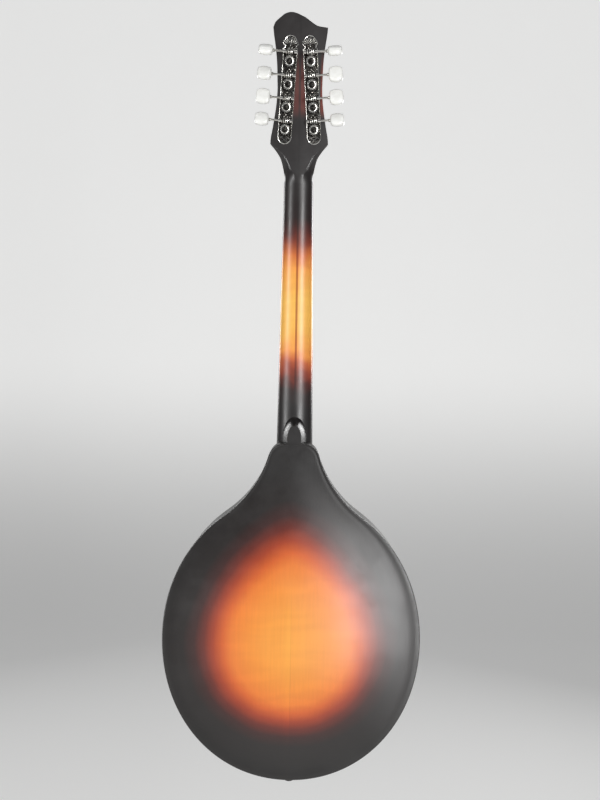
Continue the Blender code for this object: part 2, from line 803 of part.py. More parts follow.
NUT_HALF = NUT_WIDTH / 2 - NECK_FLUSH
LOWER_EDGE = (
    (0.0, NUT_HALF),
    (0.0035, NUT_HALF - 0.0006),
    (0.0105, NUT_HALF),
    (0.0192, NUT_HALF + 0.0017),
    (0.0279, NUT_HALF + 0.0045),
    (0.0364, EAR_HALF - 0.0054),
    (EAR_HEIGHT, EAR_HALF),
)
UPPER_EDGE = (
    (EAR_HEIGHT, EAR_HALF),
    (0.0490, 0.0327),
    (0.0535, 0.0317),
    (0.0617, 0.0300),
    (0.0700, 0.0285),
    (0.0780, 0.0271),
    (0.0860, 0.0260),
    (0.0980, 0.0251),
    (0.1100, 0.0252),
    (0.1240, 0.0256),
    (0.1360, 0.0266),
    (0.1460, 0.0280),
    (0.1535, 0.0292),
    (CORNER_HEIGHT, CORNER_HALF),
)
HUMP_EDGE = (
    (CORNER_HEIGHT, CORNER_HALF),
    (CORNER_HEIGHT + 0.0045, CORNER_HALF - 0.0022),
    (PEAK_HEIGHT - 0.0074, 0.0252),
    (PEAK_HEIGHT - 0.0041, 0.0208),
    (PEAK_HEIGHT - 0.0012, 0.0165),
    (PEAK_HEIGHT, 0.0122),
)
POINT_EDGE = (
    (CORNER_HEIGHT, CORNER_HALF),
    (CORNER_HEIGHT + 0.0008, 0.0227),
    (CORNER_HEIGHT + 0.0018, 0.0183),
    (CORNER_HEIGHT + 0.0041, 0.0139),
    (PEAK_HEIGHT - 0.0074, 0.0095),
    (PEAK_HEIGHT - 0.0046, 0.0051),
    (PEAK_HEIGHT - 0.0028, 0.0008),
    (PEAK_HEIGHT - 0.0010, -0.0036),
    (PEAK_HEIGHT, -0.0079),
)
RIDGE_LINE = (
    (0.0, RIDGE_NUT + 0.0006),
    (0.0040, RIDGE_NUT + 0.0013),
    (0.0100, RIDGE_NUT + 0.0025),
    (0.0160, RIDGE_NUT + 0.0045),
    (0.0230, RIDGE_NUT + 0.0073),
    (0.0280, RIDGE_NUT + 0.0105),
    (0.0320, EAR_HALF - 0.0147),
    (0.0365, EAR_HALF - 0.0092),
    (EAR_HEIGHT, EAR_HALF - HEAD_CHAMFER),
)


def head_halves(height):
    """Half widths of the headstock at a height: the point's side, then the hump's."""
    if height <= EAR_HEIGHT:
        half = smooth_value(LOWER_EDGE, height)
        return half, half
    if height <= CORNER_HEIGHT:
        half = smooth_value(UPPER_EDGE, height)
        return half, half
    return smooth_value(POINT_EDGE, height), smooth_value(HUMP_EDGE, height)


def head_heights():
    """Stations up the headstock, closer where the outline turns."""
    lower = [EAR_HEIGHT * share for share in (0.0, 0.18, 0.34, 0.48, 0.61, 0.73, 0.83, 0.92, 1.0)]
    straight = CORNER_HEIGHT - EAR_HEIGHT
    upper = [EAR_HEIGHT + straight * share for share in (0.03, 0.14, 0.28, 0.45, 0.65, 0.85, 1.0)]
    top = PEAK_HEIGHT - CORNER_HEIGHT
    crest = [CORNER_HEIGHT + top * share for share in (0.08, 0.22, 0.4, 0.58, 0.74, 0.87, 0.95, 1.0)]
    return lower + upper + crest


def head_section(half, height):
    """Half section of the headstock wood at a height, from neck round to flat slab."""
    if height >= EAR_HEIGHT:
        return ridged_section(half, HEAD_THICK - HEAD_CHAMFER, half - HEAD_CHAMFER, HEAD_THICK)
    part = height / EAR_HEIGHT
    side = NECK_LIP + (HEAD_THICK - HEAD_CHAMFER - NECK_LIP) * part**1.6
    depth = NECK_DEPTH_NUT + (HEAD_THICK - NECK_DEPTH_NUT) * min(1.0, part * 2)
    ridge = smooth_value(RIDGE_LINE, height)
    cove = ridged_section(half, side, ridge, depth)
    return blended(round_section(half, depth), cove, min(1.0, part * 3))


def neck_rings():
    """Sections of neck and headstock from behind the joint to the headstock's peak."""
    rings = []
    for share in (1.045, 0.86, 0.65, 0.42, 0.22, 0.04):
        z = -NECK_LENGTH * share
        half = board_half(z) - NECK_FLUSH
        depth = NECK_DEPTH_NUT + (NECK_DEPTH_JOINT - NECK_DEPTH_NUT) * share
        section = round_section(half, depth)
        rings.append(full_ring(section, section, z, Matrix.Translation((0, NECK_FACE, 0))))
    for height in head_heights():
        right, left = head_halves(height)
        rings.append(head_ring(right, left, height))
    return rings


def head_ring(right, left, height):
    """One ring of the headstock; above the corner it is cut off on one side."""
    if height <= CORNER_HEIGHT:
        section = head_section(right, height)
        return full_ring(section, section, height, HEAD_LOCAL)
    middle = (right - left) / 2
    half = (right + left) / 2
    section = head_section(half, height)
    frame = HEAD_LOCAL @ Matrix.Translation((middle, 0, 0))
    return full_ring(section, section, height, frame)


def heel_rings():
    """Pointed arches that sink from the neck to the back plate's button."""
    rings = []
    top = JOINT_Y + NECK_FACE - NECK_DEPTH_JOINT / 2
    floor = RIB_BACK
    for step in range(6):
        t = step / 5
        ease = (1 - t) ** HEEL_SWEEP
        half = HEEL_CAP_HALF + (HEEL_TOP_HALF - HEEL_CAP_HALF) * ease
        peak = JOINT_Z + HEEL_CAP_LENGTH + (HEEL_LENGTH - HEEL_CAP_LENGTH) * ease
        y = top + (floor - top) * t
        rings.append([(x, y, z) for x, z in heel_arch(half, peak, JOINT_Z - TENON_HALF)])
    return rings


def shank_bores(low, high, radius, sides):
    """Cylinders through the headstock where the eight posts pass."""
    runs = []
    for side in (1, -1):
        for x, height in post_places(side):
            rings = turned_rings(((low, radius), (high, radius)), sides, "Y")
            runs.append(moved(rings, (x, 0, height)))
    return runs


def post_places(side):
    """Where a side's four posts pass the headstock, counted from the nut."""
    splay = math.radians(TUNER_SPLAY)
    places = []
    for number in range(4):
        along = (number - 1.5) * TUNER_PITCH - GEAR_OFFSET
        x = side * (TUNER_OFFSET - along * math.sin(splay))
        places.append((x, TUNER_PLACE + along * math.cos(splay)))
    return places


def pocket_rings():
    """The channel for the truss rod and its open end behind the nut."""
    low = (-POCKET_HALF, NECK_FACE - ROD_DROP - POCKET_HALF, -ROD_LENGTH - GLUE_GAP)
    high = (POCKET_HALF, NECK_FACE + VENEER_FRONT * 2, POCKET_END)
    return box_rings(low, high)


def build_neck(neck_axes, head_axes, finish):
    """Neck, heel and headstock from one piece of wood."""
    neck = place("neck", ring_mesh("neck", neck_rings()), finish, neck_axes)
    heel = place("heel_form", ring_mesh("heel_form", heel_rings()), None)
    shape(neck, heel, "UNION")
    outline = [(spot.x, BODY_BOTTOM + spot.y) for spot in body_loop(-GLUE_GAP)]
    rings = prism_rings(outline, BACK_RIM - BODY_DEPTH, JOINT_Y + BODY_DEPTH)
    shape(neck, place("body_cutter", ring_mesh("body_cutter", rings), None))
    low = (-TENON_HALF, RIB_BACK, JOINT_Z - TENON_LENGTH)
    high = (TENON_HALF, RIB_FRONT, JOINT_Z + TENON_HALF)
    shape(neck, place("tenon_form", ring_mesh("tenon_form", box_rings(low, high)), None), "UNION")
    shape(neck, place("tongue_form", ring_mesh("tongue_form", tongue_rings()), None, neck_axes), "UNION")
    shape(neck, place("rod_cutter", ring_mesh("rod_cutter", pocket_rings()), None, neck_axes))
    runs = shank_bores(-2 * HEAD_THICK, HEAD_THICK, POST_RADIUS + BUSH_CLEAR, ROUND_SIDES)
    shape(neck, place("post_cutter", group_mesh("post_cutter", runs), None, head_axes))


def tongue_rings():
    """The neck's tongue, which carries the fretboard clear of the top."""
    trim = GLUE_GAP / 4
    face = NECK_FACE - trim
    floor = -BOARD_ABOVE_RIM + TONGUE_CLEAR
    rings = []
    for z in (-board_length() + BOARD_THICK, -NECK_LENGTH + NECK_DEPTH_JOINT):
        half = board_half(z) - BOARD_TAIL
        low = half - NECK_LIP
        rings.append([(half, face, z), (low, floor, z), (-low, floor, z), (-half, face, z)])
    return rings


def board_length():
    """Length of the fretboard from the nut."""
    return fret_distance(FRET_COUNT) + BOARD_TAIL


def board_stations():
    """Places and top heights along the fretboard, with a raised crown at every fret."""
    stations = [(0.0, 0.0)]
    for number in range(1, FRET_COUNT + 1):
        z = -fret_distance(number)
        stations.append((z + FRET_FOOT / 2, 0.0))
        stations.append((z + FRET_CROWN / 2, FRET_HEIGHT))
        stations.append((z - FRET_CROWN / 2, FRET_HEIGHT))
        stations.append((z - FRET_FOOT / 2, 0.0))
    stations.append((-board_length(), 0.0))
    return stations


def build_fretboard(neck_axes, finish):
    """The tapering fretboard with its frets seated in it."""
    rings = []
    for z, top in board_stations():
        half = board_half(z)
        low = -BOARD_THICK
        rings.append([(-half, top, z), (half, top, z), (half, low, z), (-half, low, z)])
    place("fretboard", ring_mesh("fretboard", rings), finish, neck_axes)


def build_nut(neck_axes, finish):
    """The nut, slotted for eight strings."""
    half = NUT_WIDTH / 2
    crest = NUT_HEIGHT + NECK_FLUSH
    low = NECK_FACE + GLUE_GAP
    profile = (
        (low, GLUE_GAP),
        (low, NUT_THICK - GLUE_GAP),
        (crest - NUT_THICK / 5, NUT_THICK - GLUE_GAP),
        (crest, NUT_THICK / 2),
        (crest, GLUE_GAP),
    )
    rings = [[(x, y, z) for y, z in profile] for x in (-half, half)]
    nut = place("nut", ring_mesh("nut", rings), finish, neck_axes)
    slots = []
    for _, radius, x, _, _, _ in string_plan():
        wide = radius + STRING_GAP
        floor = STRING_RISE_NUT - radius - STRING_GAP
        slots.append(box_rings((x - wide, floor, -NUT_THICK), (x + wide, crest * 2, NUT_THICK * 2)))
    shape(nut, place("slot_cutter", group_mesh("slot_cutter", slots), None, neck_axes))


def build_veneer(neck_axes, head_axes, finish):
    """The dark facing on the headstock's front."""
    rings = []
    for height in [GLUE_GAP] + head_heights()[1:]:
        right, left = head_halves(height)
        corners = ((-left, GLUE_GAP), (right, GLUE_GAP), (right, VENEER_FRONT), (-left, VENEER_FRONT))
        rings.append([(x, y, height) for x, y in corners])
    veneer = place("headstock_veneer", ring_mesh("headstock_veneer", rings), finish, head_axes)
    shape(veneer, place("pocket_cutter", ring_mesh("pocket_cutter", pocket_rings()), None, neck_axes))
    runs = shank_bores(-HEAD_THICK, HEAD_THICK, POST_RADIUS + BUSH_CLEAR, ROUND_SIDES)
    shape(veneer, place("facing_cutter", group_mesh("facing_cutter", runs), None, head_axes))


def build_truss_rod(neck_axes, head_axes, steel, black):
    """The rod in its channel, its nut and the cover that hides them."""
    profile = ((-ROD_LENGTH, ROD_RADIUS), (ROD_THREAD, ROD_RADIUS))
    rings = moved(turned_rings(profile, SMALL_SIDES, "Z"), (0, NECK_FACE - ROD_DROP, 0))
    place("truss_rod", ring_mesh("truss_rod", rings), steel, neck_axes)
    place("truss_rod_nut", tube_mesh("truss_rod_nut"), steel, neck_axes, (0, NECK_FACE - ROD_DROP, 0))
    outline = cover_outline()
    rings = prism_rings(outline, VENEER_FRONT + GLUE_GAP, VENEER_FRONT + GLUE_GAP + COVER_THICK)
    place("truss_rod_cover", ring_mesh("truss_rod_cover", rings), black, head_axes)


def tube_mesh(name):
    """A six-sided nut with a hole through it."""
    hole = bore(ROD_RADIUS, RUN_GAP, SMALL_SIDES * 3)
    sides = SMALL_SIDES * 3
    start, end = ROD_NUT_START, ROD_NUT_START + ROD_NUT_LENGTH
    rings = []
    for radius, z in ((hole, start), (0, start), (0, end), (hole, end)):
        if radius:
            rings.append([(x, y, z) for x, y in circle(radius, sides)])
            continue
        flat = ROD_NUT_RADIUS * math.cos(math.pi / 6)
        ring = []
        for x, y in circle(1.0, sides):
            angle = math.atan2(y, x) % (math.pi / 3) - math.pi / 6
            ring.append((x * flat / math.cos(angle), y * flat / math.cos(angle), z))
        rings.append(ring)
    builder = bmesh.new()
    rows = add_rings(builder, rings, close=False)
    for index in range(sides):
        after = (index + 1) % sides
        builder.faces.new((rows[-1][index], rows[-1][after], rows[0][after], rows[0][index]))
    return to_mesh(builder, name)


def cover_outline():
    """A bell-shaped cover plate, straight at the nut."""
    right = [(COVER_FOOT_HALF, COVER_START), (COVER_HALF, COVER_START + COVER_WAIST)]
    for step in range(1, 6):
        angle = math.pi / 2 * step / 6
        x = COVER_HALF * math.cos(angle) ** 1.3
        z = COVER_START + COVER_WAIST + (COVER_LENGTH - COVER_WAIST) * math.sin(angle)
        right.append((x, z))
    tip = (0.0, COVER_START + COVER_LENGTH)
    return right + [tip] + [(-x, z) for x, z in reversed(right)]


# Tuners


def strip_outline():
    """Outline of a tuner strip: a scalloped fan at the top and a round toe."""
    top = STRIP_SHIFT + STRIP_LENGTH / 2
    toe = STRIP_SHIFT - STRIP_LENGTH / 2
    right = []
    for step in range(5):
        angle = math.pi / 2 * (step + 0.5) / 5
        right.append((STRIP_HALF * math.sin(angle), toe + STRIP_HALF * (1 - math.cos(angle))))
    right += [(STRIP_HALF, toe + STRIP_HALF * 1.2), (STRIP_HALF, top - STRIP_HALF * 1.6)]
    right += [(STRIP_HALF * 0.8, top - STRIP_HALF * 1.2), (STRIP_HALF * 1.05, top - STRIP_HALF * 0.8)]
    right += [(STRIP_HALF * 0.9, top - STRIP_HALF * 0.3), (STRIP_HALF * 0.5, top - STRIP_HALF * 0.1)]
    right += [(STRIP_HALF * 0.3, top)]
    return mirrored_outline(right)


def build_strip(name, parent, finish):
    """One tuner strip with the lugs that carry its four worms."""
    strip = place(name, ring_mesh(name, prism_rings(strip_outline(), -STRIP_THICK, 0)), finish, parent)
    lugs, shafts, posts = [], [], []
    shaft_hole = bore(SHAFT_RADIUS, RUN_GAP, SMALL_SIDES)
    post_hole = bore(POST_RADIUS, RUN_GAP, ROUND_SIDES)
    crown = -WORM_HEIGHT - SHAFT_RADIUS - LUG_CROWN
    reach = LUG_INNER + 2 * LUG_THICK
    for number in range(4):
        z = (number - 1.5) * TUNER_PITCH
        for low in (LUG_INNER, -LUG_INNER - LUG_THICK):
            corner = (low, crown, z - LUG_HALF)
            lugs.append(box_rings(corner, (low + LUG_THICK, -STRIP_THICK / 2, z + LUG_HALF)))
        rings = turned_rings(((-reach, shaft_hole), (reach, shaft_hole)), SMALL_SIDES, "X")
        shafts.append(moved(rings, (0, -WORM_HEIGHT, z)))
        rings = turned_rings(((-2 * STRIP_THICK, post_hole), (STRIP_THICK, post_hole)), ROUND_SIDES, "Y")
        posts.append(moved(rings, (0, 0, z - GEAR_OFFSET)))
    shape(strip, place(name + "_lugs", group_mesh(name + "_lugs", lugs), None, parent), "UNION")
    shape(strip, place(name + "_shafts", group_mesh(name + "_shafts", shafts), None, parent))
    shape(strip, place(name + "_posts", group_mesh(name + "_posts", posts), None, parent))


def worm_profile():
    """Heights and radii along a worm's shaft, out to the tang inside the knob."""
    profile = [(-LUG_INNER - LUG_THICK - LUG_GAP, SHAFT_RADIUS), (-WORM_HALF, SHAFT_RADIUS)]
    for crest in range(2 * WORM_CRESTS + 1):
        height = WORM_HALF * (crest / WORM_CRESTS - 1)
        profile.append((height, WORM_RADIUS if crest % 2 else WORM_ROOT))
    profile.append((WORM_HALF, SHAFT_RADIUS))
    profile.append((LUG_INNER + LUG_THICK + LUG_GAP, SHAFT_RADIUS))
    profile.append((LUG_INNER + LUG_THICK + LUG_GAP, STEM_RADIUS))
    profile.append((KNOB_START - FERRULE_LENGTH, STEM_RADIUS))
    profile.append((KNOB_START - FERRULE_LENGTH, FERRULE_RADIUS))
    profile.append((KNOB_START - RUN_GAP, FERRULE_RADIUS))
    profile.append((KNOB_START - RUN_GAP, TANG_RADIUS))
    profile.append((KNOB_START + TANG_LENGTH, TANG_RADIUS))
    return profile


def knob_rings():
    """A flattened oval knob, bored for the shaft's tang."""
    hole = bore(TANG_RADIUS, RUN_GAP, ROUND_SIDES)
    end = KNOB_START + KNOB_LENGTH
    rings = []
    for x in (KNOB_START + TANG_LENGTH + GLUE_GAP, KNOB_START):
        rings.append([(x, a, b) for a, b in circle(hole, ROUND_SIDES)])
    for along, wide, thick in KNOB_SHAPE:
        x = KNOB_START + (end - KNOB_START) * along
        rings.append([knob_point(x, angle, wide, thick) for angle in range(ROUND_SIDES)])
    return rings


def knob_point(x, step, wide, thick):
    """A point of a soft-cornered oval section of the knob."""
    angle = 2 * math.pi * step / ROUND_SIDES
    across = math.copysign(abs(math.cos(angle)) ** 0.8, math.cos(angle))
    up = math.copysign(abs(math.sin(angle)) ** 0.8, math.sin(angle))
    return (x, KNOB_HALF_THICK * thick * across, KNOB_HALF_WIDTH * wide * up)


def post_rings():
    """Rings of a string post, measured from the headstock's back."""
    front = HEAD_FRONT
    back = -WORM_HEIGHT - GEAR_THICK / 2 - STRIP_THICK
    profile = (
        (back, POST_RADIUS),
        (front + POST_WAIST_LOW, POST_RADIUS),
        (front + POST_WAIST_LOW, POST_WAIST),
        (front + POST_WAIST_HIGH, POST_WAIST),
        (front + POST_WAIST_HIGH, POST_RADIUS),
        (front + POST_HEIGHT, POST_RADIUS),
    )
    return turned_rings(profile, ROUND_SIDES, "Y")


def gear_rings():
    """Two toothed rings of a gear that lies behind the strip."""
    outline = []
    for step in range(2 * GEAR_TEETH):
        radius = GEAR_ROOT if step % 2 else GEAR_RADIUS
        angle = math.pi * step / GEAR_TEETH
        outline.append((radius * math.cos(angle), radius * math.sin(angle)))
    return prism_rings(outline, -WORM_HEIGHT - GEAR_THICK / 2, -WORM_HEIGHT + GEAR_THICK / 2)


def build_tuner(side_name, side, number, parent, finishes):
    """One worm with its knob, and the post and gear that it turns."""
    z = (number - 1.5) * TUNER_PITCH
    label = f"{side_name}_{number + 1}"
    rest = math.radians(KNOB_TURNS[side][number])
    facing = 0.0 if side > 0 else math.pi
    spin = axes(f"worm_axis_{label}", (0, -WORM_HEIGHT, z), (0, 0, facing), parent)
    rings = turned_rings(worm_profile(), SMALL_SIDES, "X")
    place(f"tuner_worm_{label}", ring_mesh("tuner_worm", rings), finishes["steel"], spin)
    knob = ring_mesh("tuner_knob", knob_rings())
    place(f"tuner_button_{label}", knob, finishes["pearl"], spin, rotation=(rest, 0, 0))
    spot = (0, 0, z - GEAR_OFFSET)
    post_mesh = ring_mesh("tuner_post", post_rings())
    post = place(f"tuner_post_{label}", post_mesh, finishes["steel"], parent, spot)
    gear = place(f"gear_form_{label}", ring_mesh("gear_form", gear_rings()), None, parent, spot)
    shape(post, gear, "UNION")


def build_tuners(head_axes, finishes):
    """Both strips and their eight tuners."""
    for side_name, side in (("bass", 1), ("treble", -1)):
        spot = (side * TUNER_OFFSET, STRIP_BACK, TUNER_PLACE)
        lean = (0, -side * math.radians(TUNER_SPLAY), 0)
        parent = axes(f"strip_axes_{side_name}", spot, lean, head_axes)
        build_strip(f"tuner_plate_{side_name}", parent, finishes["strip"])
        for number in range(4):
            build_tuner(side_name, side, number, parent, finishes)


# Bridge


def saddle_foot():
    """Height of the saddle's underside."""
    return SADDLE_POINT.y - SADDLE_HEIGHT


def base_top():
    """Height of the bridge base's flat pads, under the wheels."""
    return saddle_foot() - GLUE_GAP - WHEEL_THICK - WHEEL_ROOM


def board_surface(tree, x, spread):
    """Highest place of the top under a strip of the bridge."""
    height = SADDLE_POINT.z - BODY_BOTTOM
    return max(surface_at(tree, x, height + shift) for shift in (-spread, 0, spread))


def build_bridge_base(finish):
    """The footed base, fitted to the arch of the top, with a stud for each wheel."""
    tree = surface_tree(OUTER_SHARES, outer_rise, TOP_ARCH)
    rings = []
    steps = 16
    for step in range(steps + 1):
        x = BRIDGE_HALF * (2 * step / steps - 1)
        floor = board_surface(tree, x, BASE_HALF_WIDTH) + GLUE_GAP
        if abs(x) < FOOT_GAP_HALF:
            floor += FOOT_GAP_RISE
        thin = max(0.0, (abs(x) - STUD_OFFSET) / (BRIDGE_HALF - STUD_OFFSET)) ** 1.5
        top = base_top() + (floor + BASE_TIP - base_top()) * thin
        low, high = -BASE_HALF_WIDTH, BASE_HALF_WIDTH
        corners = ((floor, low), (floor, high), (top, high * 0.8), (top, low * 0.8))
        rings.append([(x, y, SADDLE_POINT.z + z) for y, z in corners])
    base = place("bridge_base", ring_mesh("bridge_base", rings), finish)
    runs = []
    for side in (1, -1):
        profile = ((base_top() - WHEEL_THICK / 2, STUD_RADIUS), (saddle_foot() + STUD_REACH, STUD_RADIUS))
        rings = turned_rings(profile, SMALL_SIDES, "Y")
        runs.append(moved(rings, (side * STUD_OFFSET, 0, SADDLE_POINT.z)))
    shape(base, place("stud_form", group_mesh("stud_form", runs), None), "UNION")


def build_saddle(finish):
    """The saddle bar, bored from below for the two studs."""
    rings = []
    crest = SADDLE_POINT.y - STRING_RADII["G"] - STRING_GAP
    foot = saddle_foot()
    for share, drop in ((-1.0, 0.55), (-0.8, 0.1), (-0.6, 0.0), (0.6, 0.0), (0.8, 0.1), (1.0, 0.55)):
        top = crest - SADDLE_HEIGHT * drop
        half = [(foot, SADDLE_FOOT_HALF), (foot + (top - foot) * 0.6, SADDLE_FOOT_HALF)]
        half.append((top - SADDLE_SHOULDER_DROP, SADDLE_SHOULDER_HALF))
        half.append((top, SADDLE_CREST_HALF))
        corners = half + [(y, -z) for y, z in reversed(half)]
        rings.append([(SADDLE_HALF * share, y, z) for y, z in corners])
    spot = (0, 0, SADDLE_POINT.z)
    saddle = place("bridge_saddle", ring_mesh("bridge_saddle", rings), finish, location=spot)
    hole = bore(STUD_RADIUS, RUN_GAP, SMALL_SIDES)
    runs = []
    for side in (1, -1):
        rings = turned_rings(((foot - SADDLE_HEIGHT, hole), (foot + SADDLE_BORE, hole)), SMALL_SIDES, "Y")
        runs.append(moved(rings, (side * STUD_OFFSET, 0, SADDLE_POINT.z)))
    shape(saddle, place("saddle_cutter", group_mesh("saddle_cutter", runs), None))


def build_wheel(name, side, finish):
    """A thumb wheel that carries one end of the saddle."""
    top = saddle_foot() - GLUE_GAP
    sides = 2 * ROUND_SIDES
    hole = bore(STUD_RADIUS, RUN_GAP, sides)
    rings = []
    for radius, height in ((hole, 0), (WHEEL_RADIUS, 0), (WHEEL_RADIUS, WHEEL_THICK), (hole, WHEEL_THICK)):
        rings.append([(x, height - WHEEL_THICK, z) for x, z in circle(radius, sides)])
    builder = bmesh.new()
    rows = add_rings(builder, rings, close=False)
    for index in range(sides):
        after = (index + 1) % sides
        builder.faces.new((rows[-1][index], rows[-1][after], rows[0][after], rows[0][index]))
    spot = (side * STUD_OFFSET, top, SADDLE_POINT.z)
    place(name, to_mesh(builder, name), finish, location=spot)


# Tailpiece


def hook_places():
    """Across and along the tailpiece, where each string is hooked."""
    places = []
    for number in range(8):
        x = HOOK_SPAN * (number / 7 - 0.5)
        places.append((x, HOOK_ROW_LOW if number % 2 else HOOK_ROW_HIGH))
    return places


def tail_local(y, z):
    """A place measured square to the body, given in the tailpiece's sloping frame."""
    sine, cosine = math.sin(TAIL_ANGLE), math.cos(TAIL_ANGLE)
    return y * cosine - z * sine, y * sine + z * cosine


def build_tailpiece(tail_axes, finish):
    """The bent sheet that anchors the strings, with eight hooks."""
    outline = (
        (TAIL_SHEET, TAIL_LENGTH),
        (0.0, TAIL_LENGTH),
        (0.0, TAIL_SHEET / math.cos(TAIL_ANGLE)),
        tail_local(-TAIL_FLANGE, TAIL_SHEET),
        tail_local(-TAIL_FLANGE, 0.0),
        (TAIL_SHEET, TAIL_SHEET * math.tan(TAIL_ANGLE)),
    )
    rings = [[(x, y, z) for y, z in outline] for x in (-TAIL_HALF, TAIL_HALF)]
    base = place("tailpiece_base", ring_mesh("tailpiece_base", rings), finish, tail_axes)
    runs = []
    for x, z in hook_places():
        rings = turned_rings(((TAIL_SHEET / 2, HOOK_RADIUS), (HOOK_HEIGHT, HOOK_RADIUS)), SMALL_SIDES, "Y")
        runs.append(moved(rings, (x, 0, z)))
    shape(base, place("hook_forms", group_mesh("hook_forms", runs), None, tail_axes), "UNION")
    radius = bore(PIN_RADIUS, RUN_GAP, ROUND_SIDES)
    rings = turned_rings(((-TAIL_HALF, radius), (TAIL_SHEET / 2, radius)), ROUND_SIDES, "Z")
    rings = moved(rings, (0, PIN_Y, BODY_BOTTOM))
    shape(base, place("pin_cutter", ring_mesh("pin_cutter", rings), None))


def build_tail_cover(tail_axes, finish):
    """The sliding cover: a tray turned over, open towards the bridge."""
    inner = TAIL_HALF + COVER_SIDE_GAP
    outer = inner + COVER_SHEET
    top = TAIL_SHEET + COVER_TOP
    low = -COVER_SKIRT
    rim = TAIL_SHEET + COVER_SIDE_GAP
    back = COVER_TAIL - COVER_SHEET
    rings = []
    section = [(-outer, low), (-outer, top), (outer, top), (outer, low)]
    hollow = [(inner, low), (inner, top - COVER_SHEET), (-inner, top - COVER_SHEET), (-inner, low)]
    closed = [(inner, low), (inner, rim), (-inner, rim), (-inner, low)]
    for z, inside in ((back, closed), (COVER_TAIL, closed), (COVER_TAIL, hollow), (COVER_MOUTH, hollow)):
        rings.append([(x, y, z) for x, y in section + inside])
    place("tailpiece_cover", ring_mesh("tailpiece_cover", rings), finish, tail_axes)


def build_end_pin(finish):
    """The turned pin through tailpiece, ribs and tail block."""
    seat = -GLUE_GAP * 2 - TAIL_SHEET
    profile = (
        (RIB_THICK + PIN_SHANK, PIN_RADIUS),
        (seat, PIN_RADIUS),
        (seat, PIN_HEAD),
        (seat - PIN_LENGTH * 0.15, PIN_HEAD),
        (seat - PIN_LENGTH * 0.3, PIN_NECK),
        (seat - PIN_LENGTH * 0.7, PIN_NECK),
        (seat - PIN_LENGTH * 0.88, PIN_HEAD),
        (seat - PIN_LENGTH, PIN_HEAD * 0.9),
    )
    rings = moved(turned_rings(profile, ROUND_SIDES, "Z"), (0, PIN_Y, BODY_BOTTOM))
    place("end_pin", ring_mesh("end_pin", rings), finish)


# Strings


def string_plan():
    """Each string: name, radius, x at the nut, x at the bridge, side, tuner from the nut."""
    plan = []
    edge = NUT_WIDTH / 2 - STRING_EDGE
    for course, side, row in (("G", 1, 0), ("D", 1, 1), ("A", -1, 1), ("E", -1, 0)):
        for pair in (0, 1):
            number = row * 2 + pair
            outer = edge if row == 0 else edge / 3 + PAIR_NUT / 2
            spread = OUTER_SPREAD_BRIDGE if row == 0 else INNER_SPREAD_BRIDGE
            x_nut = side * (outer - pair * PAIR_NUT)
            x_bridge = side * (spread / 2 - pair * PAIR_BRIDGE)
            name = f"string_{course}_{'inner' if pair else 'outer'}"
            plan.append((name, STRING_RADII[course], x_nut, x_bridge, side, number))
    return plan


def coil_points(start, side, number, radius):
    """Turns round a post in the headstock's frame, from where the string meets it."""
    x, height = post_places(side)[number]
    centre = Vector((x, height))
    reach = POST_RADIUS + STRING_GAP + radius
    ray = centre - Vector((start.x, start.z))
    swing = math.asin(reach / ray.length)
    along = math.sqrt(ray.length**2 - reach**2)
    turn = side * swing
    lead = Vector(
        (
            ray.x * math.cos(turn) - ray.y * math.sin(turn),
            ray.x * math.sin(turn) + ray.y * math.cos(turn),
        )
    ).normalized() * along
    touch = Vector((start.x, start.z)) + lead - centre
    begin = math.atan2(touch.y, touch.x)
    pitch = 2 * radius + COIL_GAP
    points = []
    steps = round(COIL_TURNS * COIL_STEPS)
    low = VENEER_FRONT + COIL_START
    for step in range(steps + 1):
        angle = begin - side * 2 * math.pi * step / COIL_STEPS
        climb = low + pitch * step / COIL_STEPS
        points.append(
            Vector((x + reach * math.cos(angle), climb, height + reach * math.sin(angle)))
        )
    return points


def string_points(entry, hooks):
    """The whole route of one string, from its hook over bridge and nut to its post."""
    _, radius, x_nut, x_bridge, side, number = entry
    hook = hooks[entry[0]]
    slack = HOOK_RADIUS + STRING_GAP + radius
    start = Vector((hook[0], TAIL_SHEET + STRING_OVER_PLATE, hook[1] + slack))
    saddle = SADDLE_POINT + Vector((x_bridge, 0, 0))
    nut_front = Vector((x_nut, STRING_RISE_NUT, 0))
    nut_back = Vector((x_nut, STRING_RISE_NUT - GLUE_GAP, NUT_THICK))
    start_world = TAIL_FRAME @ start
    back_local = HEAD_LOCAL.inverted() @ nut_back
    coil = coil_points(back_local, side, number, radius)
    route = [start_world, saddle, NECK_FRAME @ nut_front, NECK_FRAME @ nut_back]
    route += [HEAD_FRAME @ point for point in coil]
    return route


def string_hooks(plan):
    """Give each string the hook that lies in its line."""
    ordered = sorted(plan, key=lambda entry: entry[3])
    return {entry[0]: spot for entry, spot in zip(ordered, hook_places())}


def coil_clearance(points, radius):
    """Least gap between a string's coil and itself."""
    least = math.inf
    apart = COIL_STEPS // 2
    for index, point in enumerate(points):
        for other in points[index + apart :]:
            least = min(least, (point - other).length - 2 * radius)
    return least


def build_strings(bronze, steel):
    """Eight strings, each a round wire drawn along its route."""
    plan = string_plan()
    hooks = string_hooks(plan)
    for entry in plan:
        name, radius = entry[0], entry[1]
        route = string_points(entry, hooks)
        gap = coil_clearance(route[4:], radius)
        print(f"{name}: least gap in its coil {gap * 1000:.2f} mm")
        wire = bpy.data.curves.new(name, "CURVE")
        wire.dimensions = "3D"
        wire.bevel_depth = radius
        wire.bevel_resolution = 1
        wire.use_fill_caps = True
        line = wire.splines.new("POLY")
        line.points.add(len(route) - 1)
        for slot, point in zip(line.points, route):
            slot.co = (*point, 1.0)
        place(name, wire, bronze if "G" in name or "D" in name else steel)


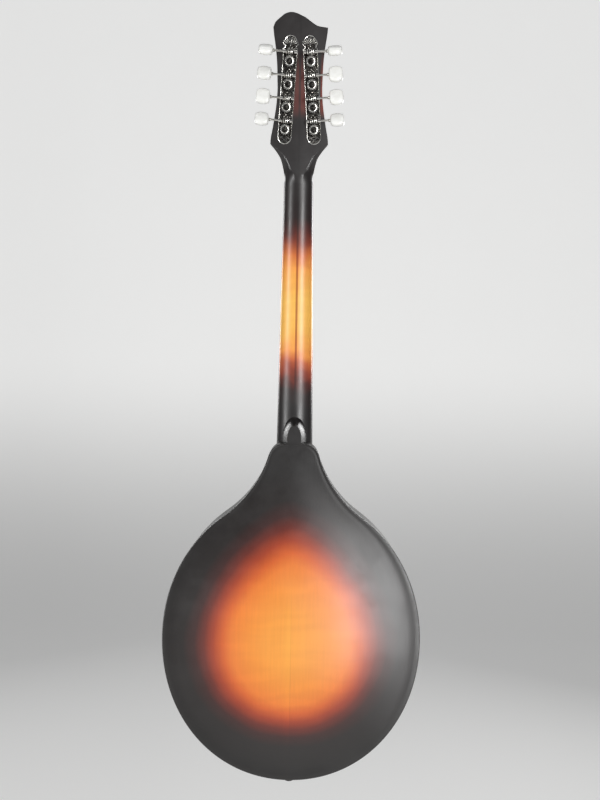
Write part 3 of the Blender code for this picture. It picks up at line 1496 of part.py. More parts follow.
def main():
    """Build every piece of the instrument."""
    clear_scene()
    finishes = {
        "spruce": material("sunburst_spruce", (0.55, 0.22, 0.05), 0.45),
        "maple": material("sunburst_maple", (0.42, 0.12, 0.035), 0.42),
        "inner": material("raw_inner_wood", (0.62, 0.44, 0.26), 0.8),
        "ebony": material("ebony", (0.02, 0.017, 0.015), 0.5),
        "bone": material("bone", (0.85, 0.8, 0.66), 0.4),
        "steel": material("plated_steel", (0.72, 0.72, 0.7), 0.22, 1.0),
        "strip": material("engraved_plate", (0.75, 0.74, 0.7), 0.28, 1.0),
        "pearl": material("pearloid", (0.9, 0.9, 0.87), 0.25),
        "bronze": material("wound_bronze", (0.6, 0.4, 0.2), 0.35, 1.0),
        "black": material("black_facing", (0.015, 0.015, 0.015), 0.35),
    }
    neck_axes = axes("neck_axes", rotation=(NECK_ANGLE, 0, 0))
    head_axes = axes("head_axes", (0, NECK_FACE, NUT_THICK), (HEAD_ANGLE, 0, 0), neck_axes)
    tail_axes = axes("tail_axes", TAIL_HINGE, (-TAIL_ANGLE, 0, 0))
    build_soundboard(finishes["spruce"])
    build_back(finishes["maple"])
    build_neck_block(finishes["inner"])
    build_tail_block(finishes["inner"])
    for side_name, side in (("bass", 1), ("treble", -1)):
        build_rib(f"rib_{side_name}", side, finishes["maple"])
        build_lining(f"lining_top_{side_name}", side, True, finishes["inner"])
        build_lining(f"lining_back_{side_name}", side, False, finishes["inner"])
        build_tone_bar(f"tone_bar_{side_name}", side, finishes["inner"])
        build_wheel(f"bridge_wheel_{side_name}", side, finishes["steel"])
    build_neck(neck_axes, head_axes, finishes["maple"])
    build_fretboard(neck_axes, finishes["ebony"])
    build_nut(neck_axes, finishes["bone"])
    build_veneer(neck_axes, head_axes, finishes["black"])
    build_truss_rod(neck_axes, head_axes, finishes["steel"], finishes["black"])
    build_tuners(head_axes, finishes)
    build_bridge_base(finishes["ebony"])
    build_saddle(finishes["ebony"])
    build_tailpiece(tail_axes, finishes["steel"])
    build_tail_cover(tail_axes, finishes["steel"])
    build_end_pin(finishes["ebony"])
    build_strings(finishes["bronze"], finishes["steel"])


main()
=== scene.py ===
"""Looks of an octave mandolin: carved sunburst body, neck, geared tuners, bridge and strings.

Metres, +Z up along the body, back towards -Y, bass side towards +X. The origin is on the
fretboard's top, at the edge of the nut where the scale starts, as in the part's own frame.
"""

import logging
from dataclasses import dataclass, field
from enum import Enum
from functools import cache
from math import asin, atan2, copysign, cos, pi, radians, sin, sqrt
from typing import Callable, Iterator, Optional, Sequence, Union

import bmesh
import bpy
from mathutils import Matrix, Vector


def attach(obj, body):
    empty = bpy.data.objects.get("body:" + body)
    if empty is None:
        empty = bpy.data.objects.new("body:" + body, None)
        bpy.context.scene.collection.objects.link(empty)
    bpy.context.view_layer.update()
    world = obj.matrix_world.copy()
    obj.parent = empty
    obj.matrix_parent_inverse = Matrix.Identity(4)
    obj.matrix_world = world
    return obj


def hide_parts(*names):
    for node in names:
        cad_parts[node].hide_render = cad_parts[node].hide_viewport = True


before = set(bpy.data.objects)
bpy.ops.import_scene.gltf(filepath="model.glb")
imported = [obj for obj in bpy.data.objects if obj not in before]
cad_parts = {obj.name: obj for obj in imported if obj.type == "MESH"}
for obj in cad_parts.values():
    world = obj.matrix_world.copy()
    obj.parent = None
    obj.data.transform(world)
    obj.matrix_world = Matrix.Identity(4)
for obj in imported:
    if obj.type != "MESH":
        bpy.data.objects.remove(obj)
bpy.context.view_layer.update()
LOG = logging.getLogger("octave_mandolin")
ROOT = "instrument"
GLUE_GAP = 0.0003

Builder = bmesh.types.BMesh
Material = bpy.types.Material
Mesh = bpy.types.Mesh
Node = bpy.types.Node
Object = bpy.types.Object
Socket = bpy.types.NodeSocket
Tree = bpy.types.NodeTree
Colour = tuple[float, float, float]
Outline = list[tuple[float, float]]
Rings = list[list[Vector]]
Input = Union[float, int, Sequence[float], Socket]


class Side(Enum):
    """The two sides of the instrument, with their direction along X."""

    BASS = 1
    TREBLE = -1

    @property
    def label(self) -> str:
        """The side's name as the nodes spell it."""
        return self.name.lower()


class Axis(Enum):
    """The line that a piece is turned about: where its height, cosine and sine go in X, Y and Z."""

    X = (0, 1, 2)
    Y = (1, 0, 2)
    Z = (1, 2, 0)


class Join(Enum):
    """What a hidden form does to the piece that it meets."""

    CUT = "DIFFERENCE"
    ADD = "UNION"


def linear(*steps: float) -> Colour:
    """Turn a colour read in 0 to 255 steps into scene values."""
    return tuple(p / 12.92 if p <= 0.04045 else ((p + 0.055) / 1.055) ** 2.4 for p in (s / 255 for s in steps))


# Node trees


@dataclass
class Graph:
    """A shader or geometry tree that is filled line by line."""

    tree: Tree

    def add(self, kind: str, inputs: Optional[dict] = None, **settings: object) -> Node:
        """Add a node.

        Args:
            kind: the node's type name.
            inputs: values or sockets for its inputs, by name or number.
            **settings: properties to set on it.

        Returns:
            The new node.
        """
        node = self.tree.nodes.new(kind)
        for name, value in settings.items():
            setattr(node, name, value)
        for name, value in (inputs or {}).items():
            self.feed(node.inputs[name], value)
        return node

    def feed(self, socket: Socket, value: Input) -> None:
        """Link or set an input.

        Args:
            socket: the input socket.
            value: an output socket to link, or a plain value to set.
        """
        if isinstance(value, Socket):
            self.tree.links.new(value, socket)
        else:
            socket.default_value = value

    def sum(self, operation: str, *values: Input) -> Socket:
        """Add a Math node for an operation on values."""
        return self.add("ShaderNodeMath", dict(enumerate(values)), operation=operation).outputs[0]

    def times(self, first: Input, second: Input) -> Socket:
        """Multiply two values."""
        return self.sum("MULTIPLY", first, second)

    def less(self, value: Input, taken: Input) -> Socket:
        """Take one value from another."""
        return self.sum("SUBTRACT", value, taken)

    def mask(self, value: Input, low: float, high: float) -> Socket:
        """Add a smooth step that rises from 0 at low to 1 at high."""
        steps = dict(enumerate((value, low, high, 0.0, 1.0)))
        return self.add("ShaderNodeMapRange", steps, interpolation_type="SMOOTHSTEP").outputs[0]

    def fall(self, value: Input, low: float, high: float) -> Socket:
        """Add a smooth step that falls from 1 at low to 0 at high."""
        return self.less(1.0, self.mask(value, low, high))

    def ramp(self, value: Input, stops: Sequence[tuple[float, Colour]]) -> Socket:
        """Add a colour ramp.

        Args:
            value: what drives the ramp.
            stops: places and colours from 0 to 1.

        Returns:
            The ramp's colour.
        """
        node = self.add("ShaderNodeValToRGB", {0: value})
        elements = node.color_ramp.elements
        elements[0].position, elements[1].position = stops[0][0], stops[-1][0]
        elements[0].color, elements[1].color = (*stops[0][1], 1.0), (*stops[-1][1], 1.0)
        for place_at, colour in stops[1:-1]:
            elements.new(place_at).color = (*colour, 1.0)
        return node.outputs["Color"]

    def mix(self, factor: Input, first: Input, second: Input, mode: str = "MIX") -> Socket:
        """Mix two colours.

        Args:
            factor: share of the second colour.
            first: colour below.
            second: colour above.
            mode: the blend mode.

        Returns:
            The mixed colour.
        """
        below, above = ((*value, 1.0) if isinstance(value, tuple) else value for value in (first, second))
        node = self.add("ShaderNodeMix", data_type="RGBA", blend_type=mode)
        for socket, value in ((0, factor), (6, below), (7, above)):
            self.feed(node.inputs[socket], value)
        return node.outputs[2]

    def tint(self, colour: Input, mask: Input, share: float, shade: Colour) -> Socket:
        """Darken a colour towards a shade, by a share where the mask is 1."""
        return self.mix(self.times(mask, share), colour, shade, "MULTIPLY")

    def noise(self, vector: Input, scale: Input, detail: float = 2.0, rough: float = 0.5) -> Socket:
        """Add a noise texture read at a vector, with its detail and the share that finer octaves keep."""
        inputs = {"Vector": vector, "Scale": scale, "Detail": detail, "Roughness": rough}
        return self.add("ShaderNodeTexNoise", inputs).outputs["Fac"]

    def mapped(self, vector: Input, scale: Sequence[float]) -> Socket:
        """Stretch a vector along each axis."""
        return self.add("ShaderNodeMapping", {"Vector": vector, "Scale": scale}).outputs[0]

    def shifted(self, vector: Input, **parts: Input) -> Socket:
        """Shift a vector by values along the axes X, Y and Z."""
        ends = {0: vector, 1: self.vector(**parts)}
        return self.add("ShaderNodeVectorMath", ends, operation="ADD").outputs[0]

    def vector(self, **parts: Input) -> Socket:
        """Join values for the axes X, Y and Z."""
        return self.add("ShaderNodeCombineXYZ", parts).outputs[0]

    def split(self, vector: Input) -> tuple[Socket, ...]:
        """Return the X, Y and Z of a vector."""
        return tuple(self.add("ShaderNodeSeparateXYZ", {0: vector}).outputs)

    def group(self, tree: Tree, **values: Input) -> Sequence[Socket]:
        """Place a node group with inputs, whose spaces are written as underscores, and return its outputs."""
        inputs = {name.replace("_", " "): value for name, value in values.items()}
        return self.add("ShaderNodeGroup", inputs, node_tree=tree).outputs


def shader_group(name: str, outputs: Sequence[str], **inputs: float) -> tuple[Graph, Sequence, Sequence]:
    """Start a shader node group that reads a vector.

    Args:
        name: the group's name.
        outputs: names of its outputs.
        **inputs: defaults of its further inputs, with spaces written as underscores.

    Returns:
        The graph, its given values and its outputs.
    """
    tree = bpy.data.node_groups.new(name, "ShaderNodeTree")
    tree.interface.new_socket("Vector", in_out="INPUT", socket_type="NodeSocketVector")
    for label, value in inputs.items():
        label = label.replace("_", " ")
        tree.interface.new_socket(label, in_out="INPUT", socket_type="NodeSocketFloat").default_value = value
    for label in outputs:
        tree.interface.new_socket(label, in_out="OUTPUT", socket_type="NodeSocketFloat")
    graph = Graph(tree)
    return graph, graph.add("NodeGroupInput").outputs, graph.add("NodeGroupOutput").inputs


@cache
def wood_grain() -> Tree:
    """Build the grain group once: long lines, cross figure and pores.

    Returns:
        A group with outputs Lines, Figure and Height.
    """
    outputs = ("Lines", "Figure", "Height")
    graph, given, out = shader_group("wood_grain", outputs, Line_Scale=400.0, Figure_Scale=90.0)
    spot = given["Vector"]
    lines = graph.noise(graph.mapped(spot, (1.0, 1.0, 0.03)), given["Line Scale"], 3.0, 0.6)
    warp = graph.noise(graph.mapped(spot, (1.0, 1.0, 0.4)), 14.0, 1.0)
    across = graph.shifted(graph.mapped(spot, (0.16, 0.16, 1.0)), Z=graph.times(warp, 0.02))
    figure = graph.noise(across, given["Figure Scale"], 1.5, 0.4)
    graph.feed(out["Lines"], graph.mask(lines, 0.3, 0.7))
    graph.feed(out["Figure"], graph.mask(figure, 0.32, 0.68))
    graph.feed(out["Height"], graph.sum("MULTIPLY_ADD", lines, 0.7, graph.times(figure, 0.3)))
    return graph.tree


@cache
def handling_marks() -> Tree:
    """Build the group of marks that handling leaves once: smudges and fine scratches.

    Returns:
        A group with outputs Smudge and Scratch.
    """
    graph, given, out = shader_group("handling_marks", ("Smudge", "Scratch"), Smudge_Scale=22.0)
    spot = given["Vector"]
    graph.feed(out["Smudge"], graph.mask(graph.noise(spot, given["Smudge Scale"], 4.0, 0.6), 0.35, 0.7))
    fine = graph.noise(graph.mapped(spot, (1.0, 0.3, 0.08)), 900.0)
    graph.feed(out["Scratch"], graph.mask(fine, 0.6, 0.78))
    return graph.tree


# Finishes


@dataclass
class Canvas(Graph):
    """A material's graph with its Principled shader."""

    shader: Node

    def spot(self) -> Socket:
        """Return the Object coordinates."""
        return self.add("ShaderNodeTexCoord").outputs["Object"]

    def shade(self, **values: Input) -> None:
        """Feed inputs of the shader, with spaces in their names written as underscores."""
        for name, value in values.items():
            self.feed(self.shader.inputs[name.replace("_", " ")], value)


def new_canvas(name: str) -> tuple[Material, Canvas]:
    """Start a material.

    Args:
        name: its name.

    Returns:
        The material and its canvas.
    """
    made = bpy.data.materials.new(name)
    made.use_nodes = True
    return made, Canvas(made.node_tree, made.node_tree.nodes["Principled BSDF"])


@dataclass(frozen=True)
class Finish:
    """What every finish shares: name, roughness, weight of a clear coat, strength of its mirror, metal."""

    name: str
    roughness: float
    coat: float = 0.0
    specular: float = 0.5
    metallic: float = 0.0

    def make(self) -> Material:
        """Build the material.

        Returns:
            The finished material.
        """
        made, canvas = new_canvas(self.name)
        canvas.shade(Metallic=self.metallic, Coat_Weight=self.coat, Coat_Roughness=0.12)
        canvas.feed(canvas.shader.inputs["Specular IOR Level"], self.specular)
        self.dress(canvas, canvas.spot())
        return made

    def dress(self, canvas: Canvas, spot: Socket) -> None:
        """Mix the finish on a canvas, read at Object coordinates."""

    def surface(self, canvas: Canvas, colour: Input, patches: Input, spread: float, height: Input, depth: float,
                strength: float) -> None:
        """Feed colour, roughness and bump.

        Args:
            canvas: the material's canvas.
            colour: its colour.
            patches: a mask from 0 to 1 that varies the roughness.
            spread: how much it varies.
            height: the bump's height from 0 to 1.
            depth: how many metres a height of 1 stands for.
            strength: how strongly the bump shows.
        """
        rough = canvas.sum("MULTIPLY_ADD", patches, spread, self.roughness - spread / 2)
        bump = canvas.add("ShaderNodeBump", {"Strength": strength, "Distance": depth, "Height": height})
        canvas.shade(Base_Color=colour, Roughness=rough, Normal=bump.outputs[0])


@dataclass(frozen=True)
class Burst:
    """How a sunburst spreads from its bright middle.

    Attributes:
        centre: height of the middle.
        half: half width at the middle contour.
        reach: distance of that contour upwards and downwards.
        power: roundness upwards and downwards.
    """

    centre: float = -0.529
    half: float = 0.093
    reach: tuple[float, float] = (0.1216, 0.0917)
    power: tuple[float, float] = (1.6, 2.05)

    def depth(self, graph: Graph, spot: Input) -> Socket:
        """Measure how far out a place lies.

        Args:
            graph: the material's graph.
            spot: Object coordinates.

        Returns:
            0 in the middle and 1 at the middle contour.
        """
        x, _, z = graph.split(spot)
        rise = graph.less(z, self.centre)
        upper = graph.mask(rise, -0.004, 0.004)
        reach, power = (graph.sum("MULTIPLY_ADD", upper, up - down, down)
                        for up, down in (self.reach, self.power))
        wide = graph.sum("DIVIDE", graph.sum("ABSOLUTE", x), self.half)
        tall = graph.sum("DIVIDE", graph.sum("ABSOLUTE", rise), reach)
        both = graph.sum("ADD", graph.sum("POWER", wide, power), graph.sum("POWER", tall, power))
        return graph.sum("POWER", both, graph.sum("DIVIDE", 1.0, power))


def stops_of(*stops: tuple[float, ...]) -> tuple[tuple[float, Colour], ...]:
    """Turn places with colours in 0 to 255 steps into a ramp's stops."""
    return tuple((place_at, linear(*steps)) for place_at, *steps in stops)


BURST_STOPS = stops_of(
    (0.0, 247, 166, 72), (0.20, 244, 158, 66), (0.34, 242, 146, 58), (0.45, 236, 130, 52), (0.52, 212, 98, 40),
    (0.59, 164, 62, 30), (0.66, 104, 34, 20), (0.73, 54, 19, 14), (0.82, 22, 14, 11), (1.0, 16, 12, 10),
)
BURST_SPAN = 1.62
NECK_STOPS = stops_of(
    (0.0, 22, 16, 15), (0.15, 34, 20, 18), (0.20, 84, 32, 24), (0.24, 140, 60, 36), (0.285, 210, 112, 54),
    (0.34, 250, 166, 76), (0.48, 255, 196, 90), (0.62, 254, 190, 86), (0.70, 246, 158, 72),
    (0.745, 206, 104, 56), (0.79, 150, 64, 42), (0.83, 84, 36, 28), (0.87, 38, 21, 18), (0.93, 18, 13, 12),
)
NECK_SPAN = 0.28


@dataclass(frozen=True)
class BurstLacquer(Finish):
    """Satin lacquer over figured wood that is shaded from amber to black, with a joint down its middle and a
    painted sheen beside it.
    """

    burst: Burst = Burst()
    line_scale: float = 420.0
    figure: float = 0.16
    seam: float = 0.0
    seam_high: float = -0.45
    lines: float = 0.10
    drift: float = 0.10

    def dress(self, canvas: Canvas, spot: Socket) -> None:
        """Mix the sunburst, the grain and the joint.

        Args:
            canvas: the material's canvas.
            spot: Object coordinates.
        """
        grain = canvas.group(wood_grain(), Vector=spot, Line_Scale=self.line_scale)
        middle = canvas.less(self.burst.depth(canvas, spot), self.drift / 2)
        depth = canvas.sum("MULTIPLY_ADD", canvas.noise(spot, 16.0), self.drift, middle)
        colour = canvas.ramp(canvas.sum("DIVIDE", depth, BURST_SPAN), BURST_STOPS)
        colour = canvas.tint(colour, grain["Figure"], self.figure, (0.18, 0.05, 0.012))
        colour = canvas.tint(colour, grain["Lines"], self.lines, (0.12, 0.03, 0.01))
        if self.seam:
            colour = self.seamed(canvas, spot, colour)
        smudge = canvas.group(handling_marks(), Vector=spot)["Smudge"]
        self.surface(canvas, colour, smudge, 0.07, grain["Height"], 0.00012, 0.25)

    def seamed(self, canvas: Canvas, spot: Socket, colour: Input) -> Socket:
        """Draw the joint of the two halves and the painted sheen beside it.

        Args:
            canvas: the material's canvas.
            spot: Object coordinates.
            colour: the colour without the joint.

        Returns:
            The colour with a fine dark line and, beside it on the treble half, a lighter band of painted sheen.
        """
        x, _, z = canvas.split(spot)
        lit = canvas.fall(z, self.seam_high - 0.08, self.seam_high)
        near = canvas.times(canvas.fall(canvas.sum("ABSOLUTE", x), 0.0002, 0.0009), lit)
        dark = canvas.tint(colour, near, self.seam, (0.22, 0.07, 0.02))
        # Painted sheen: a lighter band beside the joint on the treble half only, where that half's figure
        # catches the light.
        beside = canvas.times(canvas.mask(x, -0.012, 0.0), lit)
        lighter = canvas.times(beside, canvas.fall(x, -0.0002, 0.0002))
        return canvas.mix(canvas.times(lighter, 0.16), dark, (1.0, 0.86, 0.55), "SOFT_LIGHT")


@dataclass(frozen=True)
class NeckLacquer(Finish):
    """Satin lacquer on the neck: amber in the middle, black at both ends, a dark line down the middle that is
    partly painted shade, and a painted sheen down the head's bass edge.

    Attributes:
        stripe_half: half width of the dark line, which is partly painted shade.
        head_low: where the reddish patch and the painted sheen on the head start.
        head_high: where they end.
        patch_half: half width of that patch, which also places the painted sheen beside it.
    """

    stripe_half: float = 0.0013
    head_low: float = 0.064
    head_high: float = 0.100
    patch_half: float = 0.0105

    def dress(self, canvas: Canvas, spot: Socket) -> None:
        """Mix the sunburst, the line, the patch and the painted sheen on the bass edge.

        Args:
            canvas: the material's canvas.
            spot: Object coordinates.
        """
        x, _, z = canvas.split(spot)
        wide = canvas.sum("ABSOLUTE", x)
        stripe_half, patch_half, brown = self.stripe_half, self.patch_half, (0.3, 0.12, 0.05)
        grain = canvas.group(wood_grain(), Vector=spot, Line_Scale=700.0, Figure_Scale=130.0)
        drift = canvas.times(canvas.less(canvas.noise(spot, 40.0), 0.5), 0.10)
        along = canvas.sum("ADD", canvas.sum("DIVIDE", canvas.times(z, -1.0), NECK_SPAN), drift)
        # The dark line down the middle is partly a centre strip in the wood and partly painted shade for the
        # dark reflection along the neck's crown; it also darkens the head's patch.
        stripe = canvas.fall(wide, stripe_half * 0.75, stripe_half * 1.2)
        colour = canvas.tint(canvas.ramp(along, NECK_STOPS), stripe, 0.85, (0.42, 0.22, 0.1))
        rising = canvas.mask(z, self.head_low, self.head_low + 0.014)
        band = canvas.times(rising, canvas.fall(z, self.head_high, self.head_high + 0.034))
        patch = canvas.times(band, canvas.fall(wide, patch_half * 0.7, patch_half * 1.3))
        colour = canvas.mix(patch, colour, canvas.mix(stripe, linear(92, 36, 26), linear(58, 23, 18)))
        # Painted sheen: a lighter reddish band down the head's bass edge only, standing for the light that
        # falls from that side.
        edge = canvas.times(band, canvas.mask(x, patch_half * 2.1, patch_half * 2.35))
        colour = canvas.mix(edge, colour, linear(124, 46, 28))
        colour = canvas.tint(colour, grain["Figure"], 0.06, brown)
        colour = canvas.tint(colour, grain["Lines"], 0.08, brown)
        smudge = canvas.group(handling_marks(), Vector=spot)["Smudge"]
        self.surface(canvas, colour, smudge, 0.08, grain["Height"], 0.0001, 0.2)


@dataclass(frozen=True)
class Timber(Finish):
    """A bare or oiled wood: light early wood, dark late wood, fineness and depth of its grain."""

    light: Colour = (0.6, 0.42, 0.24)
    dark: Colour = (0.36, 0.22, 0.11)
    line_scale: float = 500.0
    depth: float = 0.0002

    def dress(self, canvas: Canvas, spot: Socket) -> None:
        """Mix the wood.

        Args:
            canvas: the material's canvas.
            spot: Object coordinates.
        """
        grain = canvas.group(wood_grain(), Vector=spot, Line_Scale=self.line_scale)
        lined = canvas.mix(grain["Lines"], self.light, self.dark)
        colour = canvas.mix(canvas.times(grain["Figure"], 0.25), lined, self.dark)
        self.surface(canvas, colour, grain["Lines"], 0.12, grain["Height"], self.depth, 0.4)


@dataclass(frozen=True)
class Plated(Finish):
    """Plated metal with tarnish in patches and fine scratches.

    Attributes:
        bright: colour of the clean metal.
        dull: colour where it has tarnished.
        tarnish: how much of it has.
        wound: pitch of a winding along the piece, or 0 for a plain surface.
    """

    metallic: float = 1.0
    bright: Colour = (0.82, 0.81, 0.77)
    dull: Colour = (0.38, 0.35, 0.30)
    tarnish: float = 0.45
    wound: float = 0.0

    def dress(self, canvas: Canvas, spot: Socket) -> None:
        """Mix the metal.

        Args:
            canvas: the material's canvas.
            spot: Object coordinates.
        """
        marks = canvas.group(handling_marks(), Vector=spot, Smudge_Scale=120.0)
        colour = canvas.mix(canvas.times(marks["Smudge"], self.tarnish), self.bright, self.dull)
        relief = marks["Scratch"], 0.00002, 0.15
        if self.wound:
            along = canvas.split(canvas.add("ShaderNodeTexCoord").outputs["UV"])[0]
            ridge = canvas.sum("SINE", canvas.times(along, 2 * pi / self.wound))
            relief = canvas.sum("MULTIPLY_ADD", ridge, 0.5, 0.5), self.wound / 4, 0.8
        self.surface(canvas, colour, marks["Smudge"], 0.16, *relief)


@dataclass(frozen=True)
class Engraved(Finish):
    """A near-black plated floor cut with fine bright scrolls: painted shade and dark reflection for the tuner
    strips' sunk floors, the gears' dishes and the worms' roots.
    """

    metallic: float = 0.85
    # Near-black base: painted shade and dark reflection of the sunk metal.
    floor: Colour = (0.014, 0.013, 0.012)
    cut: Colour = (0.30, 0.28, 0.25)
    scale: float = 150.0

    def dress(self, canvas: Canvas, spot: Socket) -> None:
        """Mix the floor, painted near-black as shade, and its cuts.

        Args:
            canvas: the material's canvas.
            spot: Object coordinates.
        """
        swirls = {"Vector": spot, "Scale": self.scale, "Distortion": 9.0, "Detail": 1.0, "Detail Scale": 3.0}
        swirl = canvas.add("ShaderNodeTexWave", swirls, wave_type="RINGS", rings_direction="Y")
        lines = canvas.mask(swirl.outputs["Fac"], 0.88, 0.99)
        smudge = canvas.group(handling_marks(), Vector=spot, Smudge_Scale=160.0)["Smudge"]
        shown = canvas.times(lines, canvas.sum("MULTIPLY_ADD", smudge, -0.5, 0.62))
        self.surface(canvas, canvas.mix(shown, self.floor, self.cut), smudge, 0.2, lines, 0.00008, 0.5)


@dataclass(frozen=True)
class Pearl(Finish):
    """Milky knob material with darker swirls."""

    pale: Colour = linear(250, 250, 246)
    shade: Colour = linear(241, 241, 236)
    scale: float = 240.0

    def dress(self, canvas: Canvas, spot: Socket) -> None:
        """Mix the swirls.

        Args:
            canvas: the material's canvas.
            spot: Object coordinates.
        """
        sway = canvas.times(canvas.noise(spot, self.scale * 0.5), 0.012)
        cloud = canvas.noise(canvas.shifted(spot, X=sway, Y=sway, Z=sway), self.scale, 3.0, 0.55)
        veins = canvas.mask(cloud, 0.42, 0.62)
        self.surface(canvas, canvas.mix(veins, self.pale, self.shade), veins, 0.08, cloud, 0.00005, 0.2)
        canvas.shade(Subsurface_Weight=0.08, Subsurface_Radius=(0.002, 0.002, 0.002))


@dataclass(frozen=True)
class Smooth(Finish):
    """A dense even material, such as bone or a black facing, worn where it is handled."""

    colour: Colour = (0.7, 0.62, 0.45)
    worn: Colour = (0.5, 0.4, 0.26)

    def dress(self, canvas: Canvas, spot: Socket) -> None:
        """Mix the material.

        Args:
            canvas: the material's canvas.
            spot: Object coordinates.
        """
        marks = canvas.group(handling_marks(), Vector=spot, Smudge_Scale=60.0)
        colour = canvas.mix(canvas.times(marks["Smudge"], 0.5), self.colour, self.worn)
        self.surface(canvas, colour, marks["Smudge"], 0.14, marks["Scratch"], 0.00002, 0.15)


SLOTS = {
    "sunburst_maple": (
        BurstLacquer("burst_back", 0.38, specular=0.85, seam=0.12, figure=0.07, lines=0.05),
        BurstLacquer("rib_lacquer", 0.52, specular=0.22, figure=0.1,
                     burst=Burst(half=0.05, reach=(0.05, 0.05))),
        NeckLacquer("neck_lacquer", 0.38, specular=0.95),
    ),
    "sunburst_spruce": (
        BurstLacquer("burst_top", 0.36, specular=0.7, line_scale=560.0, figure=0.05, lines=0.26, seam=0.25,
                     burst=Burst(half=0.094)),
    ),
    "raw_inner_wood": (Timber("raw_wood", 0.8),),
    "ebony": (Timber("ebony", 0.42, light=(0.022, 0.018, 0.016), dark=(0.009, 0.008, 0.008)),),
    "plated_steel": (Plated("plated_steel", 0.24), Plated("fret_wire", 0.2, tarnish=0.12)),
    "engraved_plate": (
        Plated("strip_rim", 0.2, bright=(0.9, 0.89, 0.85), dull=(0.4, 0.37, 0.33), tarnish=0.25),
        Engraved("strip_floor", 0.4),
    ),
    "string_steel": (Plated("string_steel", 0.25, tarnish=0.3),),
    "wound_bronze": (
        Plated("wound_bronze", 0.34, bright=(0.62, 0.4, 0.2), dull=(0.3, 0.17, 0.08), wound=0.00042),
    ),
    "pearloid": (
        Pearl("pearl_knob", 0.26, coat=0.3),
        Smooth("pearl_dot", 0.25, colour=(0.8, 0.79, 0.74), worn=(0.6, 0.62, 0.58)),
    ),
    "bone": (Smooth("bone", 0.4),),
    "black_facing": (
        Smooth("black_facing", 0.3, coat=0.2, colour=(0.014, 0.013, 0.013), worn=(0.03, 0.028, 0.027)),
    ),
}


@dataclass
class Paints:
    """Every material of the instrument, made once and found by name, with its slot."""

    made: dict[str, Material] = field(default_factory=dict)
    slots: dict[str, str] = field(default_factory=dict)

    def mix_all(self) -> None:
        """Make every material."""
        for slot, finishes in SLOTS.items():
            for finish in finishes:
                self.made[finish.name] = finish.make()
                self.slots[self.made[finish.name].name] = slot

    def slot_of(self, obj: Object) -> str:
        """Return the slot that an object's first material belongs to."""
        return self.slots[next(made.name for made in obj.data.materials if made)]


PAINTS = Paints()


# Meshes


SQUARE = ((-1, -1), (1, -1), (1, 1), (-1, 1))


def shaded(mesh: Mesh, sharp: float) -> Mesh:
    """Shade a mesh smooth, apart from edges sharper than an angle in degrees.

    Args:
        mesh: the mesh.
        sharp: the angle.

    Returns:
        The mesh.
    """
    mesh.shade_smooth()
    mesh.set_sharp_from_angle(angle=radians(sharp))
    return mesh


def poured(builder: Builder, name: str) -> Mesh:
    """Turn what a builder holds into a mesh and free the builder.

    Args:
        builder: the builder.
        name: the mesh's name.

    Returns:
        The mesh.
    """
    mesh = bpy.data.meshes.new(name)
    builder.to_mesh(mesh)
    builder.free()
    return mesh


def skin(builder: Builder, rings: Rings, ends: bool = True, tube: bool = False,
         slots: Sequence[int] = ()) -> list:
    """Skin equal rings of points in order.

    Args:
        builder: the mesh to add to.
        rings: the rings.
        ends: whether both ends get a flat face.
        tube: whether the last ring is joined to the first instead.
        slots: material slot of each band between two rings.

    Returns:
        The rows of vertices.
    """
    rows = [[builder.verts.new(point) for point in ring] for ring in rings]
    for band, (near, far) in enumerate(zip(rows, rows[1:] + rows[:1] if tube else rows[1:])):
        for index, corner in enumerate(near):
            after = (index + 1) % len(near)
            face = builder.faces.new((corner, near[after], far[after], far[index]))
            face.material_index = slots[band] if slots else 0
    if ends and not tube:
        builder.faces.new(rows[0])
        builder.faces.new(list(reversed(rows[-1])))
    return rows


def finished(builder: Builder, name: str, sharp: float = 32.0) -> Mesh:
    """Turn faces outwards and shade round places smooth, up to an angle in degrees."""
    bmesh.ops.recalc_face_normals(builder, faces=builder.faces)
    return shaded(poured(builder, name), sharp)


def lofted(name: str, *runs: Rings, sharp: float = 32.0, tube: bool = False) -> Mesh:
    """Make a mesh of separate runs of rings.

    Args:
        name: the mesh's name.
        *runs: the rings of each form.
        sharp: angle above which an edge stays sharp.
        tube: whether each form is a tube with a wall.

    Returns:
        The mesh.
    """
    builder = bmesh.new()
    for rings in runs:
        skin(builder, rings, tube=tube)
    return finished(builder, name, sharp)


def prism(outline: Outline, low: float, high: float) -> Rings:
    """Two rings that stretch an outline in X and Z along Y."""
    return [[Vector((x, y, z)) for x, z in outline] for y in (low, high)]


def box(half: float, low: float, high: float) -> Outline:
    """Outline of a box about the centre line, from its low end to its high one."""
    return [(-half, low), (half, low), (half, high), (-half, high)]


def turned(profile: Outline, sides: int, axis: Axis, spot: Sequence[float] = (0, 0, 0)) -> Rings:
    """Make the rings of a turned piece.

    Args:
        profile: heights along the axis and radii.
        sides: points of each ring.
        axis: the axis it is turned about.
        spot: where its origin lies.

    Returns:
        The rings.
    """
    steps = [2 * pi * step / sides for step in range(sides)]
    round_line = [(cos(angle), sin(angle)) for angle in steps]
    return [[Vector([(height, radius * a, radius * b)[part] for part in axis.value]) + Vector(spot)
             for a, b in round_line] for height, radius in profile]


def rod(radius: float, low: float, high: float, sides: int, axis: Axis,
        spot: Sequence[float] = (0, 0, 0)) -> Rings:
    """Rings of a plain round rod along an axis."""
    return turned(((low, radius), (high, radius)), sides, axis, spot)


def in_frame(rings: Rings, frame: Matrix) -> Rings:
    """Place every ring in a frame."""
    return [[frame @ Vector(point) for point in ring] for ring in rings]


